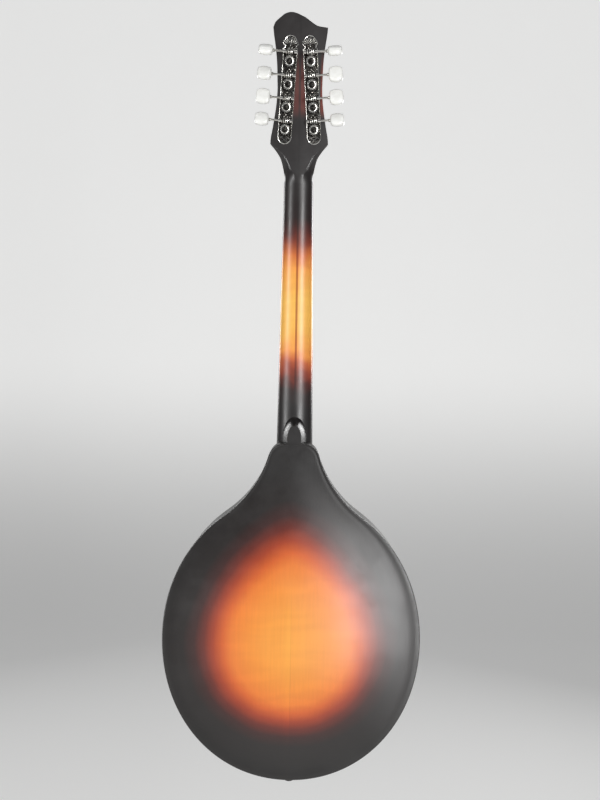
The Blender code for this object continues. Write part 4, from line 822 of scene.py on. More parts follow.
def smooth_value(points: Outline, place_at: float) -> float:
    """Read a smooth curve through a few (place, value) points.

    Args:
        points: the places and values, in order.
        place_at: where to read.

    Returns:
        The value there.
    """
    if place_at <= points[0][0]:
        return points[0][1]
    for index, (start, end) in enumerate(zip(points, points[1:])):
        if place_at > end[0]:
            continue
        before = points[max(index - 1, 0)]
        after = points[min(index + 2, len(points) - 1)]
        width = end[0] - start[0]
        lead = (end[1] - before[1]) / (end[0] - before[0]) * width
        trail = (after[1] - start[1]) / (after[0] - start[0]) * width
        t = (place_at - start[0]) / width
        curve = start[1] * (2 * t**3 - 3 * t**2 + 1) + end[1] * (3 * t**2 - 2 * t**3)
        return curve + lead * (t**3 - 2 * t**2 + t) + trail * (t**3 - t**2)
    return points[-1][1]


def linked(name: str, data: bpy.types.ID) -> Object:
    """Put data in the scene as an object.

    Args:
        name: the object's name.
        data: its mesh, curve, light or camera.

    Returns:
        The object.
    """
    obj = bpy.data.objects.new(name, data)
    bpy.context.scene.collection.objects.link(obj)
    return obj


def evaluated(obj: Object) -> Mesh:
    """Return the plain mesh that an object's modifiers give."""
    graph = bpy.context.evaluated_depsgraph_get()
    return bpy.data.meshes.new_from_object(obj.evaluated_get(graph), depsgraph=graph)


@dataclass
class Bench:
    """Where meshes become pieces of the instrument; it keeps the finished pieces' names."""

    made: list[str] = field(default_factory=list)

    def rough(self, name: str, mesh: Mesh, *paints: str) -> Object:
        """Put a mesh in the scene with its materials, without finishing it."""
        for paint in paints:
            mesh.materials.append(PAINTS.made[paint])
        return linked(name, mesh)

    def settle(self, obj: Object, sharp: float) -> Object:
        """Turn an object's modifiers into its plain mesh, with edges above an angle left sharp.

        Args:
            obj: the object.
            sharp: the angle in degrees.

        Returns:
            The object.
        """
        mesh = evaluated(obj)
        obj.modifiers.clear()
        obj.data = shaded(mesh, sharp)
        return obj

    def shape(self, obj: Object, sharp: float, *forms: tuple[Mesh, Join]) -> Object:
        """Cut a piece with hidden forms, or join them to it.

        Args:
            obj: the piece.
            sharp: angle above which an edge stays sharp.
            *forms: meshes and what each does.

        Returns:
            The piece.
        """
        for mesh, join in forms:
            step = obj.modifiers.new(mesh.name, "BOOLEAN")
            step.operation, step.solver, step.object = join.value, "EXACT", linked(mesh.name, mesh)
        tools = [step.object for step in obj.modifiers]
        self.settle(obj, sharp)
        for tool in tools:
            bpy.data.objects.remove(tool, do_unlink=True)
        return obj

    def bevel(self, obj: Object, width: float) -> Object:
        """Round the sharp edges of a piece by a width.

        Args:
            obj: the piece.
            width: the width.

        Returns:
            The piece.
        """
        step = obj.modifiers.new("round", "BEVEL")
        step.width, step.segments = width, 2
        step.limit_method, step.angle_limit = "ANGLE", radians(35.0)
        return self.settle(obj, 50.0)

    def reuse(self, node: str, name: str, paint: str, width: float, flat: float = 1.0,
              body: str = ROOT) -> None:
        """Make a piece of a CAD node's mesh, with its flat places merged and its edges rounded.

        Args:
            node: the node.
            name: the new piece's name.
            paint: its material.
            width: how far its edges are rounded.
            flat: angle in degrees under which faces are one.
            body: the body that it moves with.
        """
        builder = bmesh.new()
        builder.from_mesh(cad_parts[node].data)
        bmesh.ops.remove_doubles(builder, verts=builder.verts, dist=1e-6)
        bmesh.ops.dissolve_limit(builder, angle_limit=radians(flat), verts=builder.verts, edges=builder.edges)
        self.hand_over(self.bevel(self.rough(name, poured(builder, name), paint), width), body, node)

    def hand_over(self, obj: Object, body: str, *nodes: str) -> None:
        """Finish a piece: it rides its body and stands for its nodes.

        Args:
            obj: the piece.
            body: the body that it moves with.
            *nodes: the CAD nodes it replaces.
        """
        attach(obj, body)
        if nodes:
            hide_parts(*nodes)
        PAINTS.slot_of(obj)
        self.made.append(obj.name)
        LOG.info("%s rides %s, %d faces", obj.name, body, len(obj.data.polygons))

    def repaint(self, paint: str, *nodes: str) -> None:
        """Give kept CAD nodes a better material.

        Args:
            paint: the material.
            *nodes: the nodes.
        """
        for node in nodes:
            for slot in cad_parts[node].material_slots:
                slot.link = "OBJECT"
                slot.material = PAINTS.made[paint]
            LOG.info("%s keeps its own form", node)


BENCH = Bench()


# Geometry Nodes


WHOLE, NUMBER = "NodeSocketInt", "NodeSocketFloat"


@dataclass
class Pattern(Graph):
    """A Geometry Nodes tree with named inputs, used once and turned into a plain mesh."""

    @classmethod
    def begin(cls, name: str, **kinds: str) -> "Pattern":
        """Start a tree.

        Args:
            name: the tree's name.
            **kinds: socket type of each input after the geometry, with spaces written as underscores.

        Returns:
            The pattern, with its input and output nodes made.
        """
        tree = bpy.data.node_groups.new(name, "GeometryNodeTree")
        for label, kind in {"Geometry": "NodeSocketGeometry", **kinds}.items():
            tree.interface.new_socket(label.replace("_", " "), in_out="INPUT", socket_type=kind)
        tree.interface.new_socket("Geometry", in_out="OUTPUT", socket_type="NodeSocketGeometry")
        made = cls(tree)
        made.given = made.add("NodeGroupInput").outputs
        made.out = made.add("NodeGroupOutput")
        return made

    def index(self) -> Socket:
        """Return the number of each point."""
        return self.add("GeometryNodeInputIndex").outputs[0]

    def line(self) -> Socket:
        """Return as many points as Count says, all in one place."""
        inputs = {"Count": self.given["Count"], "Offset": (0, 0, 0)}
        return self.add("GeometryNodeMeshLine", inputs, mode="OFFSET").outputs[0]

    def copies(self, points: Socket, **inputs: Input) -> Socket:
        """Set a copy of the given geometry, or of an Instance, on each point."""
        inputs = {"Points": points, "Instance": self.given["Geometry"], **inputs}
        return self.add("GeometryNodeInstanceOnPoints", inputs).outputs[0]

    def swept(self, path: Socket) -> Socket:
        """Sweep a round section with the given Radius and Sides along a path.

        Args:
            path: the path's curve.

        Returns:
            The mesh of the sweep.
        """
        ring = {"Resolution": self.given["Sides"], "Radius": self.given["Radius"]}
        profile = self.add("GeometryNodeCurvePrimitiveCircle", ring).outputs[0]
        inputs = {"Curve": path, "Profile Curve": profile, "Fill Caps": True}
        return self.add("GeometryNodeCurveToMesh", inputs).outputs[0]

    def grow(self, name: str, data: bpy.types.ID, result: Socket, paint: str, **values: Input) -> Mesh:
        """Close the tree, run it on a mesh or curve and keep the result as a plain mesh.

        Args:
            name: the new mesh's name.
            data: the mesh or curve that the tree starts from.
            result: the last geometry.
            paint: its material.
            **values: the tree's inputs, with spaces written as underscores.

        Returns:
            The mesh.
        """
        real = self.add("GeometryNodeRealizeInstances", {0: result})
        inputs = {"Geometry": real.outputs[0], "Material": PAINTS.made[paint]}
        self.feed(self.out.inputs[0], self.add("GeometryNodeSetMaterial", inputs).outputs[0])
        seed = linked(name + "_seed", data)
        step = seed.modifiers.new("pattern", "NODES")
        step.node_group = self.tree
        for item in self.tree.interface.items_tree:
            label = item.name.replace(" ", "_")
            if item.in_out == "INPUT" and label in values:
                step[item.identifier] = values[label]
        mesh = evaluated(seed)
        bpy.data.objects.remove(seed, do_unlink=True)
        mesh.name = name
        return shaded(mesh, 40)


def around(name: str, blank: Rings, count: int, radius: float) -> Mesh:
    """Set copies of a blank round a circle, such as teeth or knurls.

    Args:
        name: the mesh's name.
        blank: rings of one copy.
        count: how many there are.
        radius: the circle's radius.

    Returns:
        The mesh.
    """
    wheel = Pattern.begin(name, Count=WHOLE, Radius=NUMBER)
    given = wheel.given
    ring = wheel.add("GeometryNodeMeshCircle", {"Vertices": given["Count"], "Radius": given["Radius"]})
    turn = wheel.sum("DIVIDE", wheel.times(wheel.index(), 2 * pi), given["Count"])
    copies = wheel.copies(ring.outputs[0], Rotation=wheel.vector(Z=turn))
    return wheel.grow(name, lofted(name + "_blank", blank), copies, "plated_steel", Count=count, Radius=radius)


def path_of(name: str, points: Sequence[Vector]) -> bpy.types.Curve:
    """Make a plain poly curve through points.

    Args:
        name: the curve's name.
        points: its points.

    Returns:
        The curve.
    """
    line = bpy.data.curves.new(name, "CURVE")
    line.dimensions = "3D"
    spline = line.splines.new("POLY")
    spline.points.add(len(points) - 1)
    for slot, point in zip(spline.points, points):
        slot.co = (*point, 1.0)
    return line


# Shared measures


@dataclass
class Measures:
    """Sizes that more than one sub-assembly needs, and the frames that come from them."""

    scale_length: float = 0.578
    joint_fret: int = 13
    neck_tilt: float = 4.5
    head_tilt: float = 14.0
    nut_width: float = 0.0352
    joint_width: float = 0.0440
    board_thick: float = 0.0060
    nut_thick: float = 0.0050
    body_length: float = 0.3862
    body_depth: float = 0.0469
    board_above_rim: float = 0.0119
    head_thick: float = 0.0145
    veneer_thick: float = 0.0016
    plate_edge: float = 0.0036
    rib_thick: float = 0.0022
    tenon_half: float = 0.0070
    cap_half: float = 0.0082
    cap_length: float = 0.0205
    post: float = 0.0030
    rise_bridge: float = 0.0055
    rise_nut: float = 0.0021
    bridge_backset: float = 0.0025
    tail_sheet: float = 0.0012
    tail_lift: float = 0.0016
    string_over_plate: float = 0.0030

    def __post_init__(self) -> None:
        """Work out the places and frames that follow from the sizes."""
        tilt = radians(self.neck_tilt)
        inwards = self.plate_edge + GLUE_GAP
        # From the nut to the body, and the joint's Y and Z on the fretboard's top.
        self.neck_length = self.fret(self.joint_fret)
        self.joint = self.neck_length * sin(tilt), -self.neck_length * cos(tilt)
        # Height of the body's tail end, Y of both plates' edges, of their middle and of the ribs' edges.
        self.bottom = self.joint[1] - self.body_length
        self.front_rim = self.joint[0] - self.board_above_rim
        self.back_rim = self.front_rim - self.body_depth
        self.middle = (self.front_rim + self.back_rim) / 2
        self.inner_faces = self.back_rim + inwards, self.front_rim - inwards
        # Y of the neck wood's front in the neck's frame; frames of neck and headstock.
        self.neck_face = -self.board_thick - GLUE_GAP
        self.neck_frame = Matrix.Rotation(tilt, 4, "X")
        lift = Matrix.Translation((0, self.neck_face, self.nut_thick))
        self.head_local = lift @ Matrix.Rotation(radians(self.head_tilt), 4, "X")
        self.head_frame = self.neck_frame @ self.head_local
        # Where the strings cross the saddle and where the tailpiece bends, on the centre line.
        saddle = Vector((0, self.rise_bridge, -self.scale_length - self.bridge_backset))
        self.saddle_point = self.neck_frame @ saddle
        hinge = Vector((0, self.front_rim + self.tail_lift, self.bottom - GLUE_GAP - self.tail_sheet))
        # The tailpiece lies parallel to the strings.
        reach = self.saddle_point - hinge
        slope = atan2(reach.y, reach.z) - asin((self.tail_sheet + self.string_over_plate) / reach.length)
        self.tail_frame = Matrix.Translation(hinge) @ Matrix.Rotation(-slope, 4, "X")

    def fret(self, number: int) -> float:
        """Distance from the nut to a fret along the scale."""
        return self.scale_length * (1 - 2 ** (-number / 12))

    def board_half(self, z: float) -> float:
        """Half width of the fretboard at a place along the neck."""
        return self.nut_width / 2 + (self.joint_width - self.nut_width) / 2 * (-z / self.neck_length)


SIZES = Measures()


@dataclass
class BodyLine:
    """Half of the body's outline as smooth stretches from the tail to the neck.

    Attributes:
        stretches: start, heading and pull out of it, end, heading and pull into it.
        steps: points of each stretch.
    """

    stretches: tuple = (
        ((0.0, 0.0), 0.0, 0.0862, (0.1482, 0.1621), 90.0, 0.0914),
        ((0.1482, 0.1621), 90.0, 0.0559, (0.0795, 0.3024), 144.3, 0.0556),
        ((0.0795, 0.3024), 144.3, 0.0295, (0.0292, 0.3731), 106.5, 0.0299),
        ((0.0292, 0.3731), 106.5, 0.0081, (0.0117, 0.3862), 180.0, 0.0081),
    )
    steps: tuple[int, ...] = (40, 30, 18, 12)

    def half(self) -> list[tuple[Vector, float]]:
        """Walk half the outline.

        Returns:
            Points as (x, height above the tail), each with its heading.
        """
        points = [(Vector((0.0, 0.0)), 0.0)]
        for (start, leave, pull_out, end, arrive, pull_in), steps in zip(self.stretches, self.steps):
            first, last = Vector(start), Vector(end)
            out, into = (Vector((cos(radians(turn)), sin(radians(turn)))) * pull
                         for turn, pull in ((leave, pull_out), (arrive, pull_in)))
            for step in range(1, steps + 1):
                t = step / steps
                u = 1 - t
                spot = u**3 * first + 3 * u**2 * t * (first + out) + 3 * u * t**2 * (last - into)
                spot += t**3 * last
                speed = u**2 * out + 2 * u * t * (last - into - first - out) + t**2 * into
                points.append((spot, atan2(speed.y, speed.x)))
        return points

    def inset(self, entry: tuple[Vector, float], inset: float) -> Vector:
        """A point of the outline moved inwards, square to it."""
        spot, heading = entry
        return spot + Vector((-sin(heading), cos(heading))) * inset

    def loop(self, inset: float = 0.0) -> list[Vector]:
        """The whole outline, moved inwards, as (x, height above the tail) from the tail round."""
        right = [self.inset(entry, inset) for entry in self.half()]
        return right + [Vector((-spot.x, spot.y)) for spot in reversed(right[1:])]


LINE = BodyLine()


@dataclass
class Plate:
    """A carved plate of the body: arched outside, hollowed inside, round at its edge."""

    rim: float
    facing: int
    arch: float
    skin_thick: float = 0.0042
    round_over: float = 0.0010
    spine: float = 0.90
    centre: float = 0.1400
    bout_height: float = 0.1621
    bout_half: float = 0.1482
    crown_half: float = 0.0117
    dome_share: float = 0.92
    dome_power: float = 1.7
    hollow_share: float = 0.90
    recurve: tuple[float, float] = (0.86, 0.0002)
    outer: tuple[float, ...] = (
        0.02, 0.06, 0.11, 0.17, 0.23, 0.30, 0.37, 0.44, 0.51, 0.58, 0.64, 0.70, 0.75, 0.80, 0.84,
        0.875, 0.905, 0.93, 0.955,
    )
    inner: tuple[float, ...] = (1.0, 0.90, 0.80, 0.68, 0.55, 0.42, 0.30, 0.18, 0.06)

    def dome(self, share: float, arch: float) -> float:
        """Height of an arch at a share of the way out, before recurve and thickness."""
        return arch * max(0.0, 1 - (share / self.dome_share) ** 2) ** self.dome_power

    def rise(self, share: float, arch: float) -> float:
        """Height of the outer face above the edge at a share of the way out.

        Args:
            share: the share, 1 at the edge.
            arch: height of the dome.

        Returns:
            The height.
        """
        start, depth = self.recurve
        dip = depth * sin(pi * (share - start) / (1 - start)) ** 2 if share > start else 0.0
        return self.dome(share, arch) - dip

    def hollow(self, share: float, arch: float) -> float:
        """Height of the inner face above the edge at a share of the way out."""
        edge = -SIZES.plate_edge
        return edge if share >= self.hollow_share else max(edge, self.dome(share, arch) - self.skin_thick)

    def arch_at(self, height: float) -> float:
        """Find how high the plate arches across the body, which sinks towards the neck.

        Args:
            height: height above the tail.

        Returns:
            The arch there.
        """
        if height <= self.bout_height:
            return self.arch
        upper = [spot for spot, _ in LINE.half() if spot.y >= self.bout_height]
        over = next((index for index, spot in enumerate(upper) if spot.y > height), len(upper) - 1)
        low, high = upper[over - 1], upper[over]
        part = min(1.0, (height - low.y) / max(high.y - low.y, 1e-9))
        half = max(self.crown_half, low.x + (high.x - low.x) * part)
        return self.arch * (half / self.bout_half) ** 2

    def ring(self, share: float, rule: Callable[[float, float], float]) -> list[Vector]:
        """Make one ring of the plate.

        Args:
            share: how far out to the edge.
            rule: the rule for its height.

        Returns:
            Its points in the object's frame.
        """
        ring = []
        for spot in LINE.loop():
            heart = Vector((0.0, self.centre + max(0.0, spot.y - self.centre) * self.spine))
            place_at = heart + (spot - heart) * share
            y = self.rim + self.facing * rule(share, self.arch_at(place_at.y))
            ring.append(Vector((place_at.x, y, SIZES.bottom + place_at.y)))
        return ring

    def rounded(self) -> Rings:
        """Make the rings of the plate's rounded outer edge.

        Returns:
            The rings, from the face to the side.
        """
        rings = []
        for step in range(5):
            angle = pi / 2 * step / 4
            inset = self.round_over * (1 - sin(angle))
            y = self.rim - self.facing * (self.round_over * (1 - cos(angle)))
            rings.append([Vector((p.x, y, SIZES.bottom + p.y)) for p in LINE.loop(inset)])
        return rings

    def piece(self, name: str, paint: str) -> Object:
        """Build the plate, with raw wood on its hollowed side.

        Args:
            name: the piece's name.
            paint: the material of its outside.

        Returns:
            The piece.
        """
        outer = [self.ring(share, self.rise) for share in self.outer] + self.rounded()
        inner = [self.ring(share, self.hollow) for share in self.inner]
        builder = bmesh.new()
        rows = skin(builder, outer + inner, False, slots=[0] * len(outer) + [1] * (len(inner) - 1))
        for slot, row in enumerate((rows[0], rows[-1])):
            self.close_across(builder, row, slot)
        return BENCH.rough(name, finished(builder, name, 45.0), paint, "raw_wood")

    def close_across(self, builder: Builder, row: list, slot: int) -> None:
        """Close a symmetric ring with faces from side to side.

        Args:
            builder: the mesh.
            row: the ring's vertices, from its lowest point.
            slot: material slot of the faces.
        """
        builder.faces.new((row[0], row[1], row[-1])).material_index = slot
        for index in range(1, len(row) // 2):
            face = builder.faces.new((row[index], row[index + 1], row[-index - 1], row[-index]))
            face.material_index = slot


@dataclass
class SoundHoles:
    """The two scrolled openings in the top, leant with the body's sides."""

    offset: float = 0.0640
    lean: float = 7.0
    eyes: tuple = ((-0.0075, 0.0420, 0.0042), (0.0090, -0.0430, 0.0056))
    spine: tuple = (
        (-0.0075, 0.0420), (-0.0065, 0.0480), (-0.0010, 0.0500), (0.0035, 0.0440), (0.0030, 0.0250),
        (0.0, 0.0), (-0.0030, -0.0250), (-0.0030, -0.0440), (0.0020, -0.0505), (0.0080, -0.0480),
        (0.0090, -0.0430),
    )
    stem: float = 0.0021
    throat: float = 0.0009
    steps: int = 60

    def leaning(self, side: Side, x: float, y: float) -> tuple[float, float]:
        """Lean a place of a hole with the body.

        Args:
            side: the side of the body.
            x: place outwards from the hole's middle.
            y: place upwards.

        Returns:
            X and Z in the object's frame.
        """
        lean = radians(self.lean)
        across = self.offset + x * cos(lean) - y * sin(lean)
        up = x * sin(lean) + y * cos(lean)
        return side.value * across, SIZES.saddle_point.z + up

    def stem_outline(self) -> list[Vector]:
        """Outline of the scroll between the eyes, wide in the middle and thin at its ends.

        Returns:
            Its points about the hole's middle.
        """
        last = len(self.spine) - 1
        axes = [[(index / last, point[axis]) for index, point in enumerate(self.spine)] for axis in (0, 1)]
        line = [Vector([smooth_value(axis, step / self.steps) for axis in axes])
                for step in range(self.steps + 1)]
        left, right = [], []
        for index, spot in enumerate(line):
            ahead = line[min(index + 1, self.steps)] - line[max(index - 1, 0)]
            end = abs(2 * index / self.steps - 1)
            half = self.throat + (self.stem - self.throat) * (1 - end**2)
            square = Vector((-ahead.y, ahead.x)).normalized() * half
            left.append(spot + square)
            right.insert(0, spot - square)
        return left + right

    def forms(self, low: float, high: float) -> Iterator[tuple[Mesh, Join]]:
        """Make the cutters for both holes.

        Args:
            low: where the cutters start.
            high: where they end.

        Yields:
            Each cutter's mesh with what it does.
        """
        outline = self.stem_outline()
        stems = [prism([self.leaning(side, *point) for point in outline], low, high) for side in Side]
        eyes = []
        for side in Side:
            for x, y, radius in self.eyes:
                across, up = self.leaning(side, x, y)
                eyes.append(rod(radius, low, high, 40, Axis.Y, (across, 0, up)))
        yield lofted("hole_stems", *stems), Join.CUT
        yield lofted("hole_eyes", *eyes), Join.CUT


def heel_arch(half: float, height: float, base: float, steps: int = 16) -> Outline:
    """Draw a pointed arch that stands on a base line.

    Args:
        half: half its width.
        height: where its point lies.
        base: where it stands.
        steps: points of each side.

    Returns:
        The outline.
    """
    shoulder = base + (height - base) * 0.25
    right = [(half, base)]
    for step in range(steps):
        angle = pi / 2 * step / (steps - 1)
        x = half * max(0.0, cos(angle)) ** 0.8
        right.append((x, shoulder + (height - shoulder) * sin(angle)))
    return right + [(-x, z) for x, z in reversed(right[:-1])]


@dataclass
class Body:
    """The hollow body: carved top and back, bent ribs, blocks, linings and tone bars."""

    holes: SoundHoles = field(default_factory=SoundHoles)
    top_arch: float = 0.0170
    back_arch: float = 0.0150
    button_sink: float = 0.0008
    pin_radius: float = 0.0033

    def build(self) -> None:
        """Build and dress every piece of the body."""
        self.back()
        self.top()
        for side in Side:
            self.rib(side)
            for stem in ("lining_top", "lining_back", "tone_bar"):
                BENCH.repaint("raw_wood", f"{stem}_{side.label}")
        BENCH.repaint("raw_wood", "neck_block", "tail_block")

    def back(self) -> None:
        """Build the back plate with the pointed button over the heel."""
        obj = Plate(SIZES.back_rim, -1, self.back_arch).piece("carved_back", "burst_back")
        joint = SIZES.joint[1]
        arch = heel_arch(SIZES.cap_half, joint + SIZES.cap_length, joint - self.button_sink)
        trim = GLUE_GAP / 4
        button = prism(arch, SIZES.back_rim + trim, SIZES.back_rim + SIZES.plate_edge - trim)
        BENCH.shape(obj, 40.0, (lofted("heel_button", button), Join.ADD))
        BENCH.hand_over(obj, ROOT, "back_plate")

    def top(self) -> None:
        """Build the soundboard and cut its holes."""
        obj = Plate(SIZES.front_rim, 1, self.top_arch).piece("carved_top", "burst_top")
        low = SIZES.front_rim - self.top_arch
        BENCH.shape(obj, 40.0, *self.holes.forms(low, low + 3 * self.top_arch))
        BENCH.hand_over(obj, ROOT, "soundboard")

    def rib(self, side: Side) -> None:
        """Build one bent rib.

        Args:
            side: the side it is on.
        """
        back, front = SIZES.inner_faces
        thick = SIZES.rib_thick
        start = (Vector((GLUE_GAP / 2, 0.0)), 0.0)
        end = (Vector((SIZES.tenon_half + GLUE_GAP, SIZES.body_length)), pi)
        rings = []
        for entry in [start] + LINE.half()[1:] + [end]:
            ring = []
            for inset, y in ((0, front), (0, back), (thick, back), (thick, front)):
                spot = LINE.inset(entry, inset)
                ring.append(Vector((side.value * spot.x, y, SIZES.bottom + spot.y)))
            rings.append(ring)
        name = f"bent_rib_{side.label}"
        obj = BENCH.rough(name, lofted(name, rings, sharp=40.0), "rib_lacquer")
        hole = rod(self.pin_radius, -thick, 2 * thick, 32, Axis.Z, (0, SIZES.middle, SIZES.bottom))
        BENCH.shape(obj, 40.0, (lofted("pin_hole", hole), Join.CUT))
        BENCH.hand_over(obj, ROOT, f"rib_{side.label}")


@dataclass
class HeadLine:
    """The headstock's outline and the ridges of its volute, by height above the nut.

    Attributes:
        lower: the edge from the nut to the ears.
        upper: the edge from the ears to the top corner.
        hump: the high side of the top.
        point: the low side of the top, which sweeps across to the peak.
        ridges: half width of the flat between the volute's two ridges.
    """

    ear_height: float = 0.0425
    corner_height: float = 0.1600
    peak: float = 0.1743
    chamfer: float = 0.0005
    lower: tuple = ((0.0, 0.0174), (0.0035, 0.0168), (0.0105, 0.0174), (0.0192, 0.0191), (0.0279, 0.0219),
                    (0.0364, 0.0278), (0.0425, 0.0332))
    upper: tuple = ((0.0425, 0.0332), (0.0490, 0.0327), (0.0535, 0.0317), (0.0617, 0.0300), (0.0700, 0.0285),
                    (0.0780, 0.0271), (0.0860, 0.0260), (0.0980, 0.0251), (0.1100, 0.0252), (0.1240, 0.0256),
                    (0.1360, 0.0266), (0.1460, 0.0280), (0.1535, 0.0292), (0.1600, 0.0298))
    hump: tuple = ((0.1600, 0.0298), (0.1645, 0.0276), (0.1669, 0.0252), (0.1702, 0.0208), (0.1731, 0.0165),
                   (0.1743, 0.0122))
    point: tuple = ((0.1600, 0.0298), (0.1608, 0.0227), (0.1618, 0.0183), (0.1641, 0.0139), (0.1669, 0.0095),
                    (0.1697, 0.0051), (0.1715, 0.0008), (0.1733, -0.0036), (0.1743, -0.0079))
    ridges: tuple = ((0.0, 0.0056), (0.0040, 0.0063), (0.0100, 0.0075), (0.0160, 0.0095), (0.0230, 0.0123),
                     (0.0280, 0.0155), (0.0320, 0.0185), (0.0365, 0.0240), (0.0425, 0.0327))

    def halves(self, height: float) -> tuple[float, float]:
        """Read the half widths at a height.

        Args:
            height: height above the nut.

        Returns:
            Half width on the point's side, then on the hump's.
        """
        if height > self.corner_height:
            return smooth_value(self.point, height), smooth_value(self.hump, height)
        half = smooth_value(self.lower if height <= self.ear_height else self.upper, height)
        return half, half

    def heights(self) -> list[float]:
        """List the stations up the headstock, closer where the outline turns.

        Returns:
            The heights.
        """
        ear, corner = self.ear_height, self.corner_height
        lower = [ear * step / 24 for step in range(25)]
        upper = [ear + (corner - ear) * step / 28 for step in range(1, 29)]
        crest = [corner + (self.peak - corner) * (step / 18) ** 0.9 for step in range(1, 19)]
        return lower + [ear + 0.0004] + upper + crest


@dataclass
class Neck:
    """Neck, heel, fretboard, nut, headstock facing and truss rod cover."""

    post_spots: tuple[tuple[float, float], ...]
    head: HeadLine = field(default_factory=HeadLine)
    depth_nut: float = 0.0158
    depth_joint: float = 0.0178
    lip: float = 0.0020
    flush: float = 0.0002
    heel_length: float = 0.0400
    heel_half: float = 0.0170
    heel_sweep: float = 2.2
    tenon_length: float = 0.0160
    tongue_clear: float = 0.0010
    board_tail: float = 0.0045
    fret_count: int = 21
    rod_drop: float = 0.0050
    rod_length: float = 0.2800
    pocket_half: float = 0.0040
    pocket_end: float = 0.0240
    dot_frets: tuple[int, ...] = (3, 5, 7, 10, 12, 15, 17)
    dot_radius: float = 0.0030
    dot_spread: float = 0.0085
    double_dot: int = 12
    fret_crown: float = 0.001
    cove_depth: float = 0.12
    bore: float = 0.0037

    def build(self) -> None:
        """Build and dress every piece of the neck."""
        self.wood()
        self.board()
        self.dots()
        self.frets()
        self.facing()
        BENCH.reuse("nut", "bone_nut", "bone", 0.00025)
        BENCH.reuse("truss_rod_cover", "rod_cover", "black_facing", 0.0004)
        BENCH.repaint("plated_steel", "truss_rod", "truss_rod_nut")

    def round_section(self, half: float, depth: float, points: int = 14) -> Outline:
        """Draw half of a rounded neck section, from its front edge to its middle.

        Args:
            half: half its width.
            depth: how deep it is.
            points: how many points the round part has.

        Returns:
            The points.
        """
        turns = [pi / 2 * step / points for step in range(1, points + 1)]
        curve = [(half * cos(turn), -self.lip - (depth - self.lip) * sin(turn)) for turn in turns]
        return [(half, 0.0), (half, -self.lip)] + curve

    def ridged_section(self, half: float, side: float, ridge: float, depth: float, points: int = 14) -> Outline:
        """Draw half of a section with straight sides, a cove and a flat between two ridges.

        Args:
            half: half its width.
            side: depth of the straight side.
            ridge: half width of the flat.
            depth: how deep the flat lies.
            points: as many points as a rounded section has.

        Returns:
            The points.
        """
        section = [(half, 0.0), (half, -side)]
        for step in range(1, points - 2):
            part = step / (points - 2)
            hollow = self.cove_depth * (half - ridge) * sin(pi * part)
            x = half + (ridge - half) * part - hollow
            section.append((x, -side - (depth - side) * part + hollow * 0.5))
        return section + [(ridge, -depth), (ridge * 0.5, -depth), (0.0, -depth)]

    def head_section(self, half: float, height: float) -> Outline:
        """Draw half a section of the headstock wood, from neck round to flat slab.

        Args:
            half: half its width.
            height: height above the nut.

        Returns:
            The points.
        """
        head, thick = self.head, SIZES.head_thick
        if height >= head.ear_height:
            return self.ridged_section(half, thick - head.chamfer, half - head.chamfer, thick)
        part = height / head.ear_height
        side = self.lip + (thick - head.chamfer - self.lip) * part**1.6
        depth = self.depth_nut + (thick - self.depth_nut) * min(1.0, part * 2)
        cove = self.ridged_section(half, side, smooth_value(head.ridges, height), depth)
        part = min(1.0, part * 2.2)
        share = part * part * (3 - 2 * part)
        pairs = zip(self.round_section(half, depth), cove)
        return [(a[0] + (b[0] - a[0]) * share, a[1] + (b[1] - a[1]) * share) for a, b in pairs]

    def ring(self, right: Outline, height: float, frame: Matrix) -> list[Vector]:
        """Close half a section to a ring that lies at a height along a frame."""
        points = right + [(-x, y) for x, y in reversed(right[:-1])]
        return [frame @ Vector((x, y, height)) for x, y in points]

    def wood_rings(self) -> Rings:
        """Make the sections of neck and headstock.

        Returns:
            The rings in the object's frame.
        """
        rings = []
        lift = SIZES.neck_frame @ Matrix.Translation((0, SIZES.neck_face, 0))
        for share in [1.045, 0.97] + [0.9 - step * 0.06 for step in range(15)]:
            z = -SIZES.neck_length * share
            depth = self.depth_nut + (self.depth_joint - self.depth_nut) * share
            rings.append(self.ring(self.round_section(SIZES.board_half(z) - self.flush, depth), z, lift))
        for height in self.head.heights():
            right, left = self.head.halves(height)
            frame = SIZES.head_frame @ Matrix.Translation(((right - left) / 2, 0, 0))
            rings.append(self.ring(self.head_section((right + left) / 2, height), height, frame))
        return rings

    def heel_rings(self) -> Rings:
        """Make the pointed arches that sink from the neck to the back plate's button.

        Returns:
            The rings.
        """
        joint_y, joint_z = SIZES.joint
        top = joint_y + SIZES.neck_face - self.depth_joint / 2
        cap_half, cap_length = SIZES.cap_half, SIZES.cap_length
        rings = []
        for step in range(17):
            t = step / 16
            ease = (1 - t) ** self.heel_sweep
            peak = joint_z + cap_length + (self.heel_length - cap_length) * ease
            arch = heel_arch(cap_half + (self.heel_half - cap_half) * ease, peak, joint_z - SIZES.tenon_half)
            rings.append([Vector((x, top + (SIZES.inner_faces[0] - top) * t, z)) for x, z in arch])
        return rings

    def bores(self, low: float, high: float) -> list[Rings]:
        """Rods through the headstock at every post, from a low to a high place."""
        rods = [rod(self.bore, low, high, 32, Axis.Y, (x, 0, z)) for x, z in self.post_spots]
        return [in_frame(rings, SIZES.head_frame) for rings in rods]

